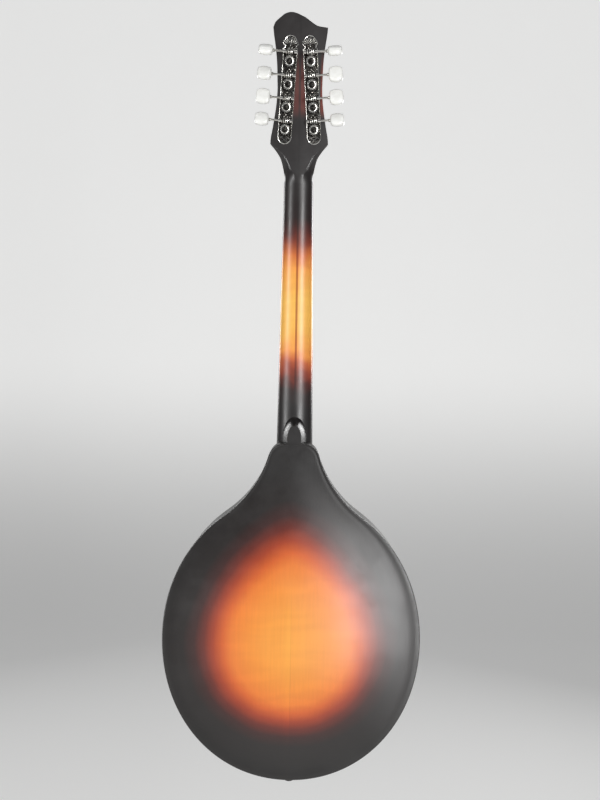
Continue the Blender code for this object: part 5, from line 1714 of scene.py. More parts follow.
    def wood(self) -> None:
        """Build the neck's wood from one piece."""
        joint_y, joint_z = SIZES.joint
        outline = [(spot.x, SIZES.bottom + spot.y) for spot in LINE.loop(-GLUE_GAP)]
        body = prism(outline, SIZES.back_rim - SIZES.body_depth, joint_y + SIZES.body_depth)
        tenon = box(SIZES.tenon_half, joint_z - self.tenon_length, joint_z + SIZES.tenon_half)
        floor = SIZES.neck_face - self.rod_drop - self.pocket_half
        channel = prism(box(self.pocket_half, -self.rod_length, self.pocket_end), floor, 0.001)
        obj = BENCH.rough("carved_neck", lofted("carved_neck", self.wood_rings()), "neck_lacquer")
        BENCH.shape(
            obj, 30.0,
            (lofted("heel_wood", self.heel_rings()), Join.ADD),
            (lofted("body_line", body), Join.CUT),
            (lofted("tenon", prism(tenon, *SIZES.inner_faces)), Join.ADD),
            (lofted("tongue", in_frame(self.tongue(), SIZES.neck_frame)), Join.ADD),
            (lofted("rod_channel", in_frame(channel, SIZES.neck_frame)), Join.CUT),
            (lofted("post_bores", *self.bores(-0.03, 0.02)), Join.CUT),
        )
        BENCH.hand_over(obj, ROOT, "neck")

    def tongue(self) -> Rings:
        """Make the neck's tongue, which carries the fretboard clear of the top.

        Returns:
            Two rings in the neck's frame.
        """
        face = SIZES.neck_face - GLUE_GAP / 4
        floor = -SIZES.board_above_rim + self.tongue_clear
        rings = []
        for z in (-self.board_length() + SIZES.board_thick, -SIZES.neck_length + self.depth_joint):
            half = SIZES.board_half(z) - self.board_tail
            low = half - self.lip
            rings.append([(half, face, z), (low, floor, z), (-low, floor, z), (-half, face, z)])
        return rings

    def board_length(self) -> float:
        """Length of the fretboard from the nut."""
        return SIZES.fret(self.fret_count) + self.board_tail

    def board(self) -> None:
        """Build the fretboard."""
        rings = []
        for z in (0.0, -self.board_length()):
            half, low = SIZES.board_half(z), -SIZES.board_thick
            rings.append([(-half, 0, z), (half, 0, z), (half, low, z), (-half, low, z)])
        mesh = lofted("ebony_board", in_frame(rings, SIZES.neck_frame))
        BENCH.hand_over(BENCH.bevel(BENCH.rough("ebony_board", mesh, "ebony"), 0.0004), ROOT, "fretboard")

    def dots(self) -> None:
        """Set the fretboard's pearl dots."""
        runs = []
        profile = ((-0.0008, self.dot_radius), (0.00002, self.dot_radius), (0.00006, self.dot_radius * 0.9))
        for number in self.dot_frets:
            z = -(SIZES.fret(number) + SIZES.fret(number - 1)) / 2
            for x in (-self.dot_spread, self.dot_spread) if number == self.double_dot else (0.0,):
                runs.append(in_frame(turned(profile, 24, Axis.Y, (x, 0, z)), SIZES.neck_frame))
        BENCH.hand_over(BENCH.rough("board_dots", lofted("board_dots", *runs), "pearl_dot"), ROOT)

    def frets(self) -> None:
        """Set a crowned fret at every place of the scale with Geometry Nodes."""
        wires = Pattern.begin("fret_wires", Count=WHOLE, Scale_Length=NUMBER, Nut_Half=NUMBER, Taper=NUMBER,
                              Crown=NUMBER)
        given = wires.given
        octaves = wires.sum("DIVIDE", wires.sum("ADD", wires.index(), 1.0), -12.0)
        z = wires.times(wires.less(1.0, wires.sum("POWER", 2.0, octaves)), given["Scale Length"])
        spots = {"Geometry": wires.line(), "Position": wires.vector(Z=wires.times(z, -1.0))}
        placed = wires.add("GeometryNodeSetPosition", spots).outputs[0]
        half = wires.sum("MULTIPLY_ADD", z, given["Taper"], given["Nut Half"])
        copies = wires.copies(placed, Scale=wires.vector(X=half, Y=given["Crown"], Z=given["Crown"]))
        tilt = {"Geometry": copies, "Rotation": (radians(SIZES.neck_tilt), 0, 0)}
        tilted = wires.add("GeometryNodeTransform", tilt).outputs[0]
        foot = -0.02
        section = ((0.0, 1.1), (-0.45, 0.95), (-0.95, 0.45), (-1.1, foot), (1.1, foot), (0.95, 0.45),
                   (0.45, 0.95))
        rings = [[(x, y if abs(x) < 1 else max(foot, y * 0.55), z) for z, y in section]
                 for x in (-1.0, -0.985, 0.985, 1.0)]
        values = {
            "Count": self.fret_count, "Crown": self.fret_crown, "Scale_Length": SIZES.scale_length,
            "Nut_Half": SIZES.nut_width / 2,
            "Taper": (SIZES.joint_width - SIZES.nut_width) / 2 / SIZES.neck_length,
        }
        mesh = wires.grow("frets", lofted("fret_blank", rings), tilted, "fret_wire", **values)
        BENCH.hand_over(BENCH.rough("frets", mesh), ROOT)

    def facing(self) -> None:
        """Build the dark facing on the headstock's front."""
        front = GLUE_GAP + SIZES.veneer_thick
        rings = []
        for z in [GLUE_GAP] + self.head.heights()[1:]:
            right, left = self.head.halves(z)
            rings.append([(-left, GLUE_GAP, z), (right, GLUE_GAP, z), (right, front, z), (-left, front, z)])
        mesh = lofted("black_face", in_frame(rings, SIZES.head_frame))
        obj = BENCH.rough("black_face", mesh, "black_facing")
        channel = in_frame(prism(box(self.pocket_half, -0.01, self.pocket_end), -0.02, 0.004), SIZES.neck_frame)
        BENCH.shape(obj, 32.0, (lofted("face_channel", channel), Join.CUT),
                    (lofted("face_bores", *self.bores(-0.01, 0.01)), Join.CUT))
        BENCH.hand_over(BENCH.bevel(obj, 0.0003), ROOT, "headstock_veneer")


@dataclass
class Kit:
    """Collects several forms into one mesh with several materials."""

    builder: Builder = field(default_factory=bmesh.new)

    def rings(self, rings: Rings, slots: Sequence[int] = ()) -> None:
        """Add a closed run of rings, whose ends take the material slots of the outer bands.

        Args:
            rings: the rings.
            slots: material slot of each band between two rings.
        """
        skin(self.builder, rings, slots=slots)
        self.builder.faces.ensure_lookup_table()
        for face, end in zip(self.builder.faces[-2:], slots[:1] + slots[-1:] if slots else ()):
            face.material_index = end

    def mesh(self, mesh: Mesh, frame: Matrix = Matrix.Identity(4)) -> None:
        """Add a finished mesh in the first material.

        Args:
            mesh: the mesh, which is used up.
            frame: where it is placed.
        """
        mesh.transform(frame)
        start = len(self.builder.faces)
        self.builder.from_mesh(mesh)
        self.builder.faces.ensure_lookup_table()
        for face in self.builder.faces[start:]:
            face.material_index = 0
        bpy.data.meshes.remove(mesh)

    def piece(self, name: str, frame: Matrix, *paints: str) -> Object:
        """Make the object.

        Args:
            name: its name.
            frame: where it is placed.
            *paints: its materials in slot order.

        Returns:
            The object.
        """
        mesh = finished(self.builder, name, 35.0)
        mesh.transform(frame)
        return BENCH.rough(name, mesh, *paints)


def shrunk(outline: Outline, inset: float) -> Outline:
    """Move a counter-clockwise outline inwards.

    Args:
        outline: the points.
        inset: how far they move.

    Returns:
        The moved points.
    """
    moved = []
    for index, point in enumerate(outline):
        here, before = Vector(point), Vector(outline[index - 1])
        after = Vector(outline[(index + 1) % len(outline)])
        into, out = (here - before).normalized(), (after - here).normalized()
        normal = Vector((-into.y - out.y, into.x + out.x))
        moved.append(tuple(here + normal.normalized() * inset / max(0.5, normal.length / 2)))
    return moved


@dataclass
class Tuners:
    """Two engraved strips, each with four worms, knobs, gears and string posts."""

    pitch: float = 0.0230
    place: float = 0.1007
    offset: float = 0.0135
    splay: float = 3.9
    strip_half: float = 0.0080
    strip_top: float = 0.0515
    strip_toe: float = -0.0585
    strip_thick: float = 0.0012
    rim_width: float = 0.0009
    floor_drop: float = 0.0004
    worm_height: float = 0.0054
    worm_half: float = 0.0048
    worm_root: float = 0.0024
    ridge_line: float = 0.0025
    ridge_radius: float = 0.0006
    worm_turns: int = 4
    shaft: float = 0.0016
    stem: float = 0.0011
    lug_inner: float = 0.0052
    lug_thick: float = 0.0013
    lug_half: float = 0.0025
    lug_crown: float = 0.0010
    gear_offset: float = 0.0090
    gear_root: float = 0.0049
    gear_tip: float = 0.0057
    gear_teeth: int = 14
    gear_thick: float = 0.0030
    waist: float = 0.0026
    post_height: float = 0.0125
    waist_span: tuple[float, float] = (0.0028, 0.0095)
    knob_start: float = 0.0190
    knob_length: float = 0.0158
    knob_wide: float = 0.0091
    knob_thick: float = 0.0043
    knob_wide_line: tuple = ((0, 0.5), (0.03, 0.68), (0.1, 0.84), (0.36, 1.0), (0.66, 0.985), (0.88, 0.84),
                             (0.955, 0.68), (0.99, 0.46), (1.0, 0.24))
    knob_thick_line: tuple = ((0, 0.6), (0.03, 0.8), (0.1, 0.95), (0.36, 1.0), (0.66, 0.985), (0.88, 0.88),
                              (0.955, 0.72), (0.99, 0.48), (1.0, 0.24))
    tang: float = 0.0009
    tang_length: float = 0.0080
    ferrule: float = 0.0018
    ferrule_length: float = 0.0016
    play: float = 0.0001
    knob_square: float = 0.8
    rivet: float = 0.00072
    ray_count: int = 9
    ray_spread: float = 150.0
    band_half: float = 0.00028
    band_rise: float = 0.0003
    turns: dict = field(default_factory=lambda: {
        Side.BASS: (-47.0, -29.0, -27.0, -63.0), Side.TREBLE: (45.0, 29.0, 44.0, 60.0)})

    def strip_frame(self, side: Side) -> Matrix:
        """Frame of a strip: X across, Y out of the headstock's front, Z up."""
        spot = Matrix.Translation((side.value * self.offset, -SIZES.head_thick - GLUE_GAP, self.place))
        return SIZES.head_frame @ spot @ Matrix.Rotation(-side.value * radians(self.splay), 4, "Y")

    def station(self, number: int) -> float:
        """Height of a worm on its strip, counted from the nut."""
        return (number - 1.5) * self.pitch

    @property
    def stations(self) -> list[float]:
        """Heights of the four worms on their strip."""
        return [self.station(number) for number in range(4)]

    @property
    def floor(self) -> float:
        """Y of a strip's sunk floor."""
        return self.floor_drop - self.strip_thick

    def post_spots(self, side: Side) -> list[tuple[float, float]]:
        """Find where a side's posts pass the headstock, in its frame.

        Args:
            side: the side.

        Returns:
            X and height of each post.
        """
        splay = radians(self.splay)
        along = [z - self.gear_offset for z in self.stations]
        return [(side.value * (self.offset - z * sin(splay)), self.place + z * cos(splay)) for z in along]

    def build(self) -> None:
        """Build and dress every piece of the tuners."""
        for side in Side:
            self.strip(side)
            self.rivets(side)
            self.ornament(side)
            for number in range(4):
                self.worm(side, number)
                self.knob(side, number)
                self.post_and_gear(side, number)
        self.bushings()

    def strip_outline(self) -> Outline:
        """Draw a strip, counter-clockwise seen from the front.

        Returns:
            The points.
        """
        half, top, toe = self.strip_half, self.strip_top, self.strip_toe
        turns = [pi / 2 * (step + 0.5) / 12 for step in range(12)]
        right = [(half * sin(turn), toe + half * (1 - cos(turn))) for turn in turns]
        edge = ((0.0, half), (0.12, half * 0.8), (0.3, half * 1.02), (0.48, half * 1.05), (0.62, half * 0.9),
                (0.8, half * 0.72), (0.92, half * 0.46), (1.0, half * 0.2))
        low = top - half * 1.6
        right += [(half, low - 0.0005)]
        for step in range(25):
            t = step / 24
            scallop = 0.00035 * abs(sin(pi * 4 * t)) * (1 if t > 0.3 else 0)
            right.append((smooth_value(edge, t) + scallop - 0.0003, low + (top - low) * t))
        return right + [(-x, z) for x, z in reversed(right)]

    def strip(self, side: Side) -> None:
        """Build a strip with its raised rim, its engraved floor painted near-black as shade, and lugs.

        Args:
            side: the side.
        """
        thick, rim = self.strip_thick, self.rim_width
        steps = ((0.0001, 0.0), (0, -0.0001), (0, -thick + 0.0004), (rim * 0.25, -thick + 0.0001),
                 (rim * 0.5, -thick), (rim * 0.8, -thick + 0.0001), (rim, self.floor))
        outline = self.strip_outline()
        kit = Kit()
        kit.rings([[(x, y, z) for x, z in shrunk(outline, inset)] for inset, y in steps])
        # The sunk floor takes the engraved material, painted near-black as shade and dark reflection.
        kit.builder.faces[-1].material_index = 1
        self.lugs(kit)
        obj = kit.piece(f"strip_{side.label}", Matrix.Identity(4), "strip_rim", "strip_floor")
        shafts = [rod(self.shaft + self.play, -0.008, 0.008, 24, Axis.X, (0, -self.worm_height, z))
                  for z in self.stations]
        posts = [rod(SIZES.post + self.play, -0.003, 0.001, 32, Axis.Y, (0, 0, z - self.gear_offset))
                 for z in self.stations]
        BENCH.shape(obj, 32.0, (lofted("shaft_holes", *shafts), Join.CUT),
                    (lofted("post_holes", *posts), Join.CUT))
        obj.data.transform(self.strip_frame(side))
        BENCH.hand_over(obj, ROOT, f"tuner_plate_{side.label}")

    def lugs(self, kit: Kit) -> None:
        """Add the round-topped lugs that carry the worms.

        Args:
            kit: the strip's forms.
        """
        half, thick = self.lug_half, self.lug_thick
        crown = self.worm_height + self.shaft + self.lug_crown - half
        turns = [pi * step / 12 for step in range(13)]
        section = [(-0.0007, -half), (-0.0007, half)]
        section += [(-crown - half * sin(turn), half * cos(turn)) for turn in turns]
        for z in self.stations:
            for low in (self.lug_inner, -self.lug_inner - thick):
                kit.rings([[(x, y, z + a) for y, a in section] for x in (low, low + thick)])

    def rivets(self, side: Side) -> None:
        """Scatter rivet heads on a strip with Geometry Nodes.

        Args:
            side: the side.
        """
        heads = Pattern.begin("strip_rivets", Radius=NUMBER, Rings=WHOLE)
        size = {"Radius": heads.given["Radius"], "Rings": heads.given["Rings"], "Segments": 14}
        dome = heads.add("GeometryNodeMeshUVSphere", size).outputs[0]
        spots = []
        for number, z in enumerate(self.stations):
            spots += [(-0.0019, z + 0.0046), (0.0019, z + 0.0046), (0.0, z + 0.0068)]
            spots += [(-0.0064, z - 0.0165), (0.0064, z - 0.0165)] if number else []
        frame = self.strip_frame(side)
        points = bpy.data.meshes.new("rivet_spots")
        points.from_pydata([frame @ Vector((x, self.floor, z)) for x, z in spots], [], [])
        copies = heads.copies(heads.given["Geometry"], Instance=dome)
        name = f"rivets_{side.label}"
        mesh = heads.grow(name, points, copies, "plated_steel", Radius=self.rivet, Rings=8)
        BENCH.hand_over(BENCH.rough(name, mesh), ROOT)

    def fan(self) -> Mesh:
        """Spread the fan of rays at a strip's top with Geometry Nodes.

        Returns:
            Its mesh about the rays' common point.
        """
        rays = Pattern.begin("fan_rays", Count=WHOLE, Spread=NUMBER)
        last = rays.less(rays.given["Count"], 1.0)
        part = rays.less(rays.sum("DIVIDE", rays.index(), last), 0.5)
        copies = rays.copies(rays.line(), Rotation=rays.vector(Y=rays.times(part, rays.given["Spread"])))
        ray = ((0.0016, 0.00016, 0.00012), (0.0045, 0.0004, 0.00035), (0.0062, 0.00055, 0.0004),
               (0.0070, 0.0003, 0.0002))
        blank = [[(-wide, 0, z), (0, -deep, z), (wide, 0, z), (0, deep, z)] for z, wide, deep in ray]
        return rays.grow("fan", lofted("ray_blank", blank), copies, "strip_rim", Count=self.ray_count,
                         Spread=radians(self.ray_spread))

    def ornament(self, side: Side) -> None:
        """Lay the fan of rays at a strip's top and the raised bands.

        Args:
            side: the side.
        """
        floor = self.floor
        kit = Kit()
        kit.mesh(self.fan(), Matrix.Translation((0, floor, self.strip_top - 0.0088)))
        for line in self.bands():
            rings = []
            for index, (x, z) in enumerate(line):
                ahead = Vector(line[min(index + 1, len(line) - 1)]) - Vector(line[max(index - 1, 0)])
                across = Vector((-ahead.y, ahead.x)).normalized() * self.band_half
                rings.append([(x + across.x * a, floor - self.band_rise * b, z + across.y * a)
                              for a, b in ((-1, -0.5), (-0.6, 1), (0.6, 1), (1, -0.5))])
            kit.rings(rings)
        hub = ((-0.0006, 0.0009), (0.0002, 0.0012))
        kit.rings(turned(hub, 20, Axis.Y, (0, floor, self.strip_top - 0.0086)))
        BENCH.hand_over(kit.piece(f"ornament_{side.label}", self.strip_frame(side), "strip_rim"), ROOT)

    def bands(self) -> list[Outline]:
        """Draw the raised bands' centre lines: crossed at the toe, bowed beside each gear.

        Returns:
            Each band as (x, z) points.
        """
        half, toe = self.strip_half - self.rim_width, self.strip_toe
        tenths, eighths = [step / 10 for step in range(11)], [step / 8 for step in range(9)]
        lines = []
        for flip in (1, -1):
            lines.append([(flip * half * (1 - 2 * t) * 0.72, toe + 0.0013 + 0.0066 * t**0.9) for t in tenths])
            lines.append([(flip * (0.0012 + 0.0052 * sin(pi * t)), toe + 0.0014 + 0.0066 * t)
                          for t in tenths])
            lines += [[(flip * (0.0047 + 0.0018 * sin(pi * t)), z + 0.0036 + 0.0045 * t) for t in eighths]
                      for z in self.stations]
        return lines

    def worm_frame(self, side: Side, number: int) -> Matrix:
        """Frame of a worm, with X outwards along its shaft."""
        spot = Matrix.Translation((0, -self.worm_height, self.station(number)))
        return self.strip_frame(side) @ spot @ Matrix.Rotation(0.0 if side is Side.BASS else pi, 4, "Z")

    def worm(self, side: Side, number: int) -> None:
        """Build a worm: its shaft with a ferrule, and the ridge wound on it.

        Args:
            side: the side.
            number: the worm's place from the nut.
        """
        label = f"{side.label}_{number + 1}"
        shaft, half, start, ferrule = self.shaft, self.worm_half, self.knob_start, self.ferrule
        end = self.lug_inner + self.lug_thick + 0.0004
        collar = start - self.ferrule_length
        profile = ((-end - 0.0002, shaft * 0.7), (-end, shaft), (-half, shaft), (-half, self.worm_root),
                   (half, self.worm_root), (half, shaft), (end, shaft), (end + 0.0003, self.stem),
                   (collar - 0.0006, self.stem), (collar, ferrule), (collar + 0.0005, ferrule * 0.86),
                   (collar + 0.0009, ferrule), (start - self.play, ferrule * 0.94),
                   (start - self.play, self.tang), (start + self.tang_length, self.tang))
        steps, wind = 20 * self.worm_turns, []
        for step in range(steps + 1):
            x, turn = (half - self.ridge_radius) * (2 * step / steps - 1), 2 * pi * step / 20
            wind.append((x, self.ridge_line * cos(turn), self.ridge_line * sin(turn)))
        ridge = Pattern.begin("worm_ridge", Radius=NUMBER, Sides=WHOLE)
        wound = ridge.grow("ridge", path_of("ridge", wind), ridge.swept(ridge.given["Geometry"]),
                           "plated_steel", Radius=self.ridge_radius, Sides=8)
        kit = Kit()
        # The root between the ridge's turns takes the near-black material: painted shade between the crests.
        kit.rings(turned(profile, 28, Axis.X), [1 if band == 3 else 0 for band in range(len(profile) - 1)])
        kit.mesh(wound)
        obj = kit.piece(f"worm_{label}", self.worm_frame(side, number), "plated_steel", "strip_floor")
        BENCH.hand_over(obj, f"knob_{label}", f"tuner_worm_{label}")

    def knob(self, side: Side, number: int) -> None:
        """Build a pearl knob at its angle of rest.

        Args:
            side: the side.
            number: the knob's place from the nut.
        """
        label = f"{side.label}_{number + 1}"
        sides, steps, start, hole = 44, 34, self.knob_start, self.tang + self.play
        rings = rod(hole, start + self.tang_length + GLUE_GAP, start, sides, Axis.X)
        turns = [2 * pi * corner / sides for corner in range(sides)]
        corners = [[copysign(abs(part) ** self.knob_square, part) for part in (cos(turn), sin(turn))]
                   for turn in turns]
        for step in range(steps + 1):
            t = 0.5 - 0.5 * cos(pi * step / steps)
            thick = self.knob_thick * smooth_value(self.knob_thick_line, t)
            wide = self.knob_wide * smooth_value(self.knob_wide_line, t)
            rings.append([(start + self.knob_length * t, a * thick, b * wide) for a, b in corners])
        mesh = lofted(f"pearl_{label}", rings, sharp=50.0)
        rest = Matrix.Rotation(radians(self.turns[side][number]), 4, "X")
        mesh.transform(self.worm_frame(side, number) @ rest)
        obj = BENCH.rough(f"pearl_{label}", mesh, "pearl_knob")
        BENCH.hand_over(obj, f"knob_{label}", f"tuner_button_{label}")

    def post_and_gear(self, side: Side, number: int) -> None:
        """Build a string post with its toothed gear behind the strip.

        Args:
            side: the side.
            number: the post's place from the nut.
        """
        label = f"{side.label}_{number + 1}"
        front = SIZES.head_thick + 2 * GLUE_GAP + SIZES.veneer_thick
        low, high = (side_of * self.gear_thick / 2 - self.worm_height for side_of in (-1, 1))
        waist_low, waist_high = (front + part for part in self.waist_span)
        top, post, rim = front + self.post_height, SIZES.post, self.gear_root
        profile = ((low - 0.0009, 0.0016), (low - 0.0007, 0.0022), (low + 0.0004, 0.0024),
                   (high - 0.0002, 0.0029), (waist_low - 0.0003, post), (waist_low, self.waist),
                   (waist_high, self.waist), (waist_high + 0.0003, post), (top - 0.0006, post),
                   (top - 0.0002, post * 0.92), (top, post * 0.72))
        dish = ((low + 0.0012, 0.0001), (low + 0.0012, rim - 0.0019), (low + 0.0003, rim - 0.0017),
                (low, rim - 0.0012), (low + 0.0001, rim - 0.0005), (low + 0.0005, rim), (high - 0.0003, rim),
                (high, rim * 0.99), (high, 0.0001))
        reach, half = self.gear_tip - rim, self.gear_thick / 2
        flank = ((-0.0006, 0.00085, 1.0), (0.0, 0.00085, 1.0), (reach * 0.8, 0.00055, 0.96),
                 (reach, 0.0004, 0.86))
        tooth = [[(x, a * wide, b * half * deep) for a, b in SQUARE] for x, wide, deep in flank]
        kit = Kit()
        # The dish's middle and the post's foot take the near-black material: painted shade inside the gear's
        # rim.
        kit.rings(turned(dish, 42, Axis.Y), [1, 1] + [0] * 6)
        kit.rings(turned(profile, 36, Axis.Y), [1, 1, 1] + [0] * (len(profile) - 4))
        upright = Matrix.Translation((0, -self.worm_height, 0)) @ Matrix.Rotation(pi / 2, 4, "X")
        kit.mesh(around("gear_teeth", tooth, self.gear_teeth, rim), upright)
        spot = Matrix.Translation((0, 0, self.station(number) - self.gear_offset))
        obj = kit.piece(f"post_and_gear_{label}", self.strip_frame(side) @ spot, "plated_steel", "strip_floor")
        BENCH.hand_over(obj, f"post_{label}", f"tuner_post_{label}")

    def bushings(self) -> None:
        """Set a turned bushing round each post on the headstock's front."""
        front = GLUE_GAP + SIZES.veneer_thick
        hole, edge = SIZES.post + 0.00015, SIZES.post + 0.0019
        profile = ((front - 0.0010, hole), (front - 0.0010, hole + 0.0004), (front + 0.0001, hole + 0.0004),
                   (front + 0.0001, edge), (front + 0.0006, edge - 0.0002), (front + 0.0009, hole + 0.0005),
                   (front + 0.0009, hole))
        runs = [in_frame(turned(profile, 32, Axis.Y, (x, 0, z)), SIZES.head_frame)
                for side in Side for x, z in self.post_spots(side)]
        mesh = lofted("post_bushings", *runs, tube=True)
        BENCH.hand_over(BENCH.rough("post_bushings", mesh, "plated_steel"), ROOT)


@dataclass
class Bridge:
    """The footed base, the saddle bar and the two knurled wheels between them."""

    stud_offset: float = 0.0330
    wheel_radius: float = 0.0072
    wheel_thick: float = 0.0026
    saddle_height: float = 0.0086
    hole: float = 0.0022
    knurls: int = 40

    def build(self) -> None:
        """Build and dress the bridge."""
        BENCH.reuse("bridge_base", "footed_base", "ebony", 0.0005, 3.0)
        BENCH.reuse("bridge_saddle", "saddle_bar", "ebony", 0.0002, 2.0, "saddle")
        for side in Side:
            self.wheel(side)

    def wheel(self, side: Side) -> None:
        """Build a thumb wheel with its knurled edge.

        Args:
            side: the side.
        """
        thick, edge, half = self.wheel_thick, self.wheel_radius, self.wheel_thick / 2 - 0.00035
        knurl = [[(x, a * wide, b * half) for a, b in SQUARE]
                 for x, wide in ((-0.0004, 0.0005), (0.0, 0.00045), (0.00028, 0.00012))]
        profile = ((-thick, self.hole), (-thick, edge - 0.0006), (-thick + 0.0004, edge), (-0.0004, edge),
                   (0, edge - 0.0006), (0, self.hole))
        kit = Kit()
        skin(kit.builder, turned(profile, 48, Axis.Y), tube=True)
        flat = Matrix.Translation((0, -thick / 2, 0)) @ Matrix.Rotation(pi / 2, 4, "X")
        kit.mesh(around("knurls", knurl, self.knurls, edge), flat)
        crossing = SIZES.saddle_point
        top = crossing.y - self.saddle_height - GLUE_GAP
        spot = Matrix.Translation((side.value * self.stud_offset, top, crossing.z))
        obj = kit.piece(f"thumb_wheel_{side.label}", spot, "plated_steel")
        BENCH.hand_over(obj, f"wheel_{side.label}", f"bridge_wheel_{side.label}")


@dataclass
class Tailpiece:
    """The bent sheet with its hooks, its sliding cover and the end pin."""

    pin: float = 0.0032
    pin_head: float = 0.0070
    pin_neck: float = 0.0042
    pin_length: float = 0.0100
    pin_shank: float = 0.0160

    def build(self) -> None:
        """Build and dress the tailpiece."""
        BENCH.reuse("tailpiece_base", "bent_sheet", "plated_steel", 0.0002)
        BENCH.reuse("tailpiece_cover", "sliding_cover", "fret_wire", 0.0008, body="tail_cover")
        self.end_pin()

    def end_pin(self) -> None:
        """Turn the end pin."""
        seat, head, neck = -GLUE_GAP * 2 - SIZES.tail_sheet, self.pin_head, self.pin_neck
        tip = SIZES.rib_thick + self.pin_shank
        bead = ((0.15, head * 0.98), (0.26, neck * 1.12), (0.4, neck), (0.6, neck), (0.74, neck * 1.15),
                (0.86, head * 0.97), (0.93, head), (0.98, head * 0.9), (1, head * 0.6))
        profile = [(tip, self.pin * 0.9), (tip - 0.001, self.pin), (seat, self.pin), (seat, head - 0.0004),
                   (seat - 0.0005, head)] + [(seat - self.pin_length * part, radius) for part, radius in bead]
        rings = turned(profile, 48, Axis.Z, (0, SIZES.middle, SIZES.bottom))
        BENCH.hand_over(BENCH.rough("strap_pin", lofted("strap_pin", rings), "ebony"), ROOT, "end_pin")


@dataclass
class Strings:
    """Eight strings in four courses, from hook over bridge and nut to post."""

    posts: dict
    edge: float = 0.0030
    pair_nut: float = 0.0024
    pair_bridge: float = 0.0026
    spread: tuple[float, float] = (0.0460, 0.0166)
    radii: dict = field(default_factory=lambda: {"G": 0.00058, "D": 0.00043, "A": 0.00028, "E": 0.00017})
    turns: float = 1.75
    turn_steps: int = 28
    coil_gap: float = 0.0006
    coil_start: float = 0.0034
    clear: float = 0.0003
    hook: float = 0.0013
    hook_rows: tuple[float, float] = (0.0180, 0.0240)
    hook_span: float = 0.0290

    def build(self) -> None:
        """Draw every string along its route."""
        plan = []
        edge = SIZES.nut_width / 2 - self.edge
        for course, side, row in (("G", Side.BASS, 0), ("D", Side.BASS, 1), ("A", Side.TREBLE, 1),
                                  ("E", Side.TREBLE, 0)):
            for pair, word in enumerate(("outer", "inner")):
                outer = edge if row == 0 else edge / 3 + self.pair_nut / 2
                x_nut = side.value * (outer - pair * self.pair_nut)
                x_bridge = side.value * (self.spread[row] / 2 - pair * self.pair_bridge)
                plan.append((x_bridge, x_nut, f"{course}_{word}", side, row * 2 + pair))
        for index, (x_bridge, x_nut, name, side, number) in enumerate(sorted(plan, key=lambda entry: entry[0])):
            hook = (self.hook_span * (index / 7 - 0.5), self.hook_rows[0 if index % 2 else 1])
            self.wire(name, self.route(self.radii[name[0]], x_nut, x_bridge, side, number, hook))

    def route(self, radius: float, x_nut: float, x_bridge: float, side: Side, number: int,
              hook: tuple[float, float]) -> list[Vector]:
        """Find the whole route of one string.

        Args:
            radius: the string's radius.
            x_nut: its place across the nut.
            x_bridge: its place across the bridge.
            side: the side of its post.
            number: its post from the nut.
            hook: its hook across and along the tailpiece.

        Returns:
            The route's points.
        """
        over = SIZES.tail_sheet + SIZES.string_over_plate
        start = Vector((hook[0], over, hook[1] + self.hook + self.clear + radius))
        nut_front = Vector((x_nut, SIZES.rise_nut, 0))
        nut_back = Vector((x_nut, SIZES.rise_nut - GLUE_GAP, SIZES.nut_thick))
        neck = SIZES.neck_frame
        coil = self.coil(SIZES.head_local.inverted() @ nut_back, side, number, radius)
        return [SIZES.tail_frame @ start, SIZES.saddle_point + Vector((x_bridge, 0, 0)), neck @ nut_front,
                neck @ nut_back] + [SIZES.head_frame @ point for point in coil]

    def coil(self, start: Vector, side: Side, number: int, radius: float) -> list[Vector]:
        """Wind turns round a post, from where the string meets it.

        Args:
            start: where the string leaves the nut, in the headstock's frame.
            side: the side of the post.
            number: the post from the nut.
            radius: the string's radius.

        Returns:
            The points, in the headstock's frame.
        """
        x, height = self.posts[side][number]
        reach = SIZES.post + self.clear + radius
        ray = Vector((x - start.x, height - start.z))
        turn = side.value * asin(reach / ray.length)
        lead = Vector((ray.x * cos(turn) - ray.y * sin(turn),
                       ray.x * sin(turn) + ray.y * cos(turn)))
        touch = lead.normalized() * sqrt(ray.length**2 - reach**2) - ray
        begin = atan2(touch.y, touch.x)
        low = GLUE_GAP + SIZES.veneer_thick + self.coil_start
        points = []
        for step in range(round(self.turns * self.turn_steps) + 1):
            angle = begin - side.value * 2 * pi * step / self.turn_steps
            climb = low + (2 * radius + self.coil_gap) * step / self.turn_steps
            points.append(Vector((x + reach * cos(angle), climb, height + reach * sin(angle))))
        return points

    def wire(self, name: str, route: list[Vector]) -> None:
        """Sweep one string with a lengthwise UV for its winding.

        Args:
            name: its course and its place in the pair.
            route: its points.
        """
        tree = Pattern.begin("string_sweep", Radius=NUMBER, Sides=WHOLE)
        keep = tree.add("GeometryNodeCaptureAttribute", domain="POINT")
        keep.capture_items.new("FLOAT", "Along")
        tree.feed(keep.inputs[0], tree.given["Geometry"])
        tree.feed(keep.inputs["Along"], tree.add("GeometryNodeSplineParameter").outputs["Length"])
        along = tree.vector(X=keep.outputs["Along"])
        inputs = {"Name": "UVMap", "Geometry": tree.swept(keep.outputs[0]), "Value": along}
        store = tree.add("GeometryNodeStoreNamedAttribute", inputs, data_type="FLOAT2", domain="CORNER")
        paint = "wound_bronze" if name[0] in "GD" else "string_steel"
        mesh = tree.grow(f"wire_{name}", path_of(name, route), store.outputs[0], paint,
                         Radius=self.radii[name[0]], Sides=10)
        BENCH.hand_over(BENCH.rough(f"wire_{name}", mesh), ROOT, f"string_{name}")


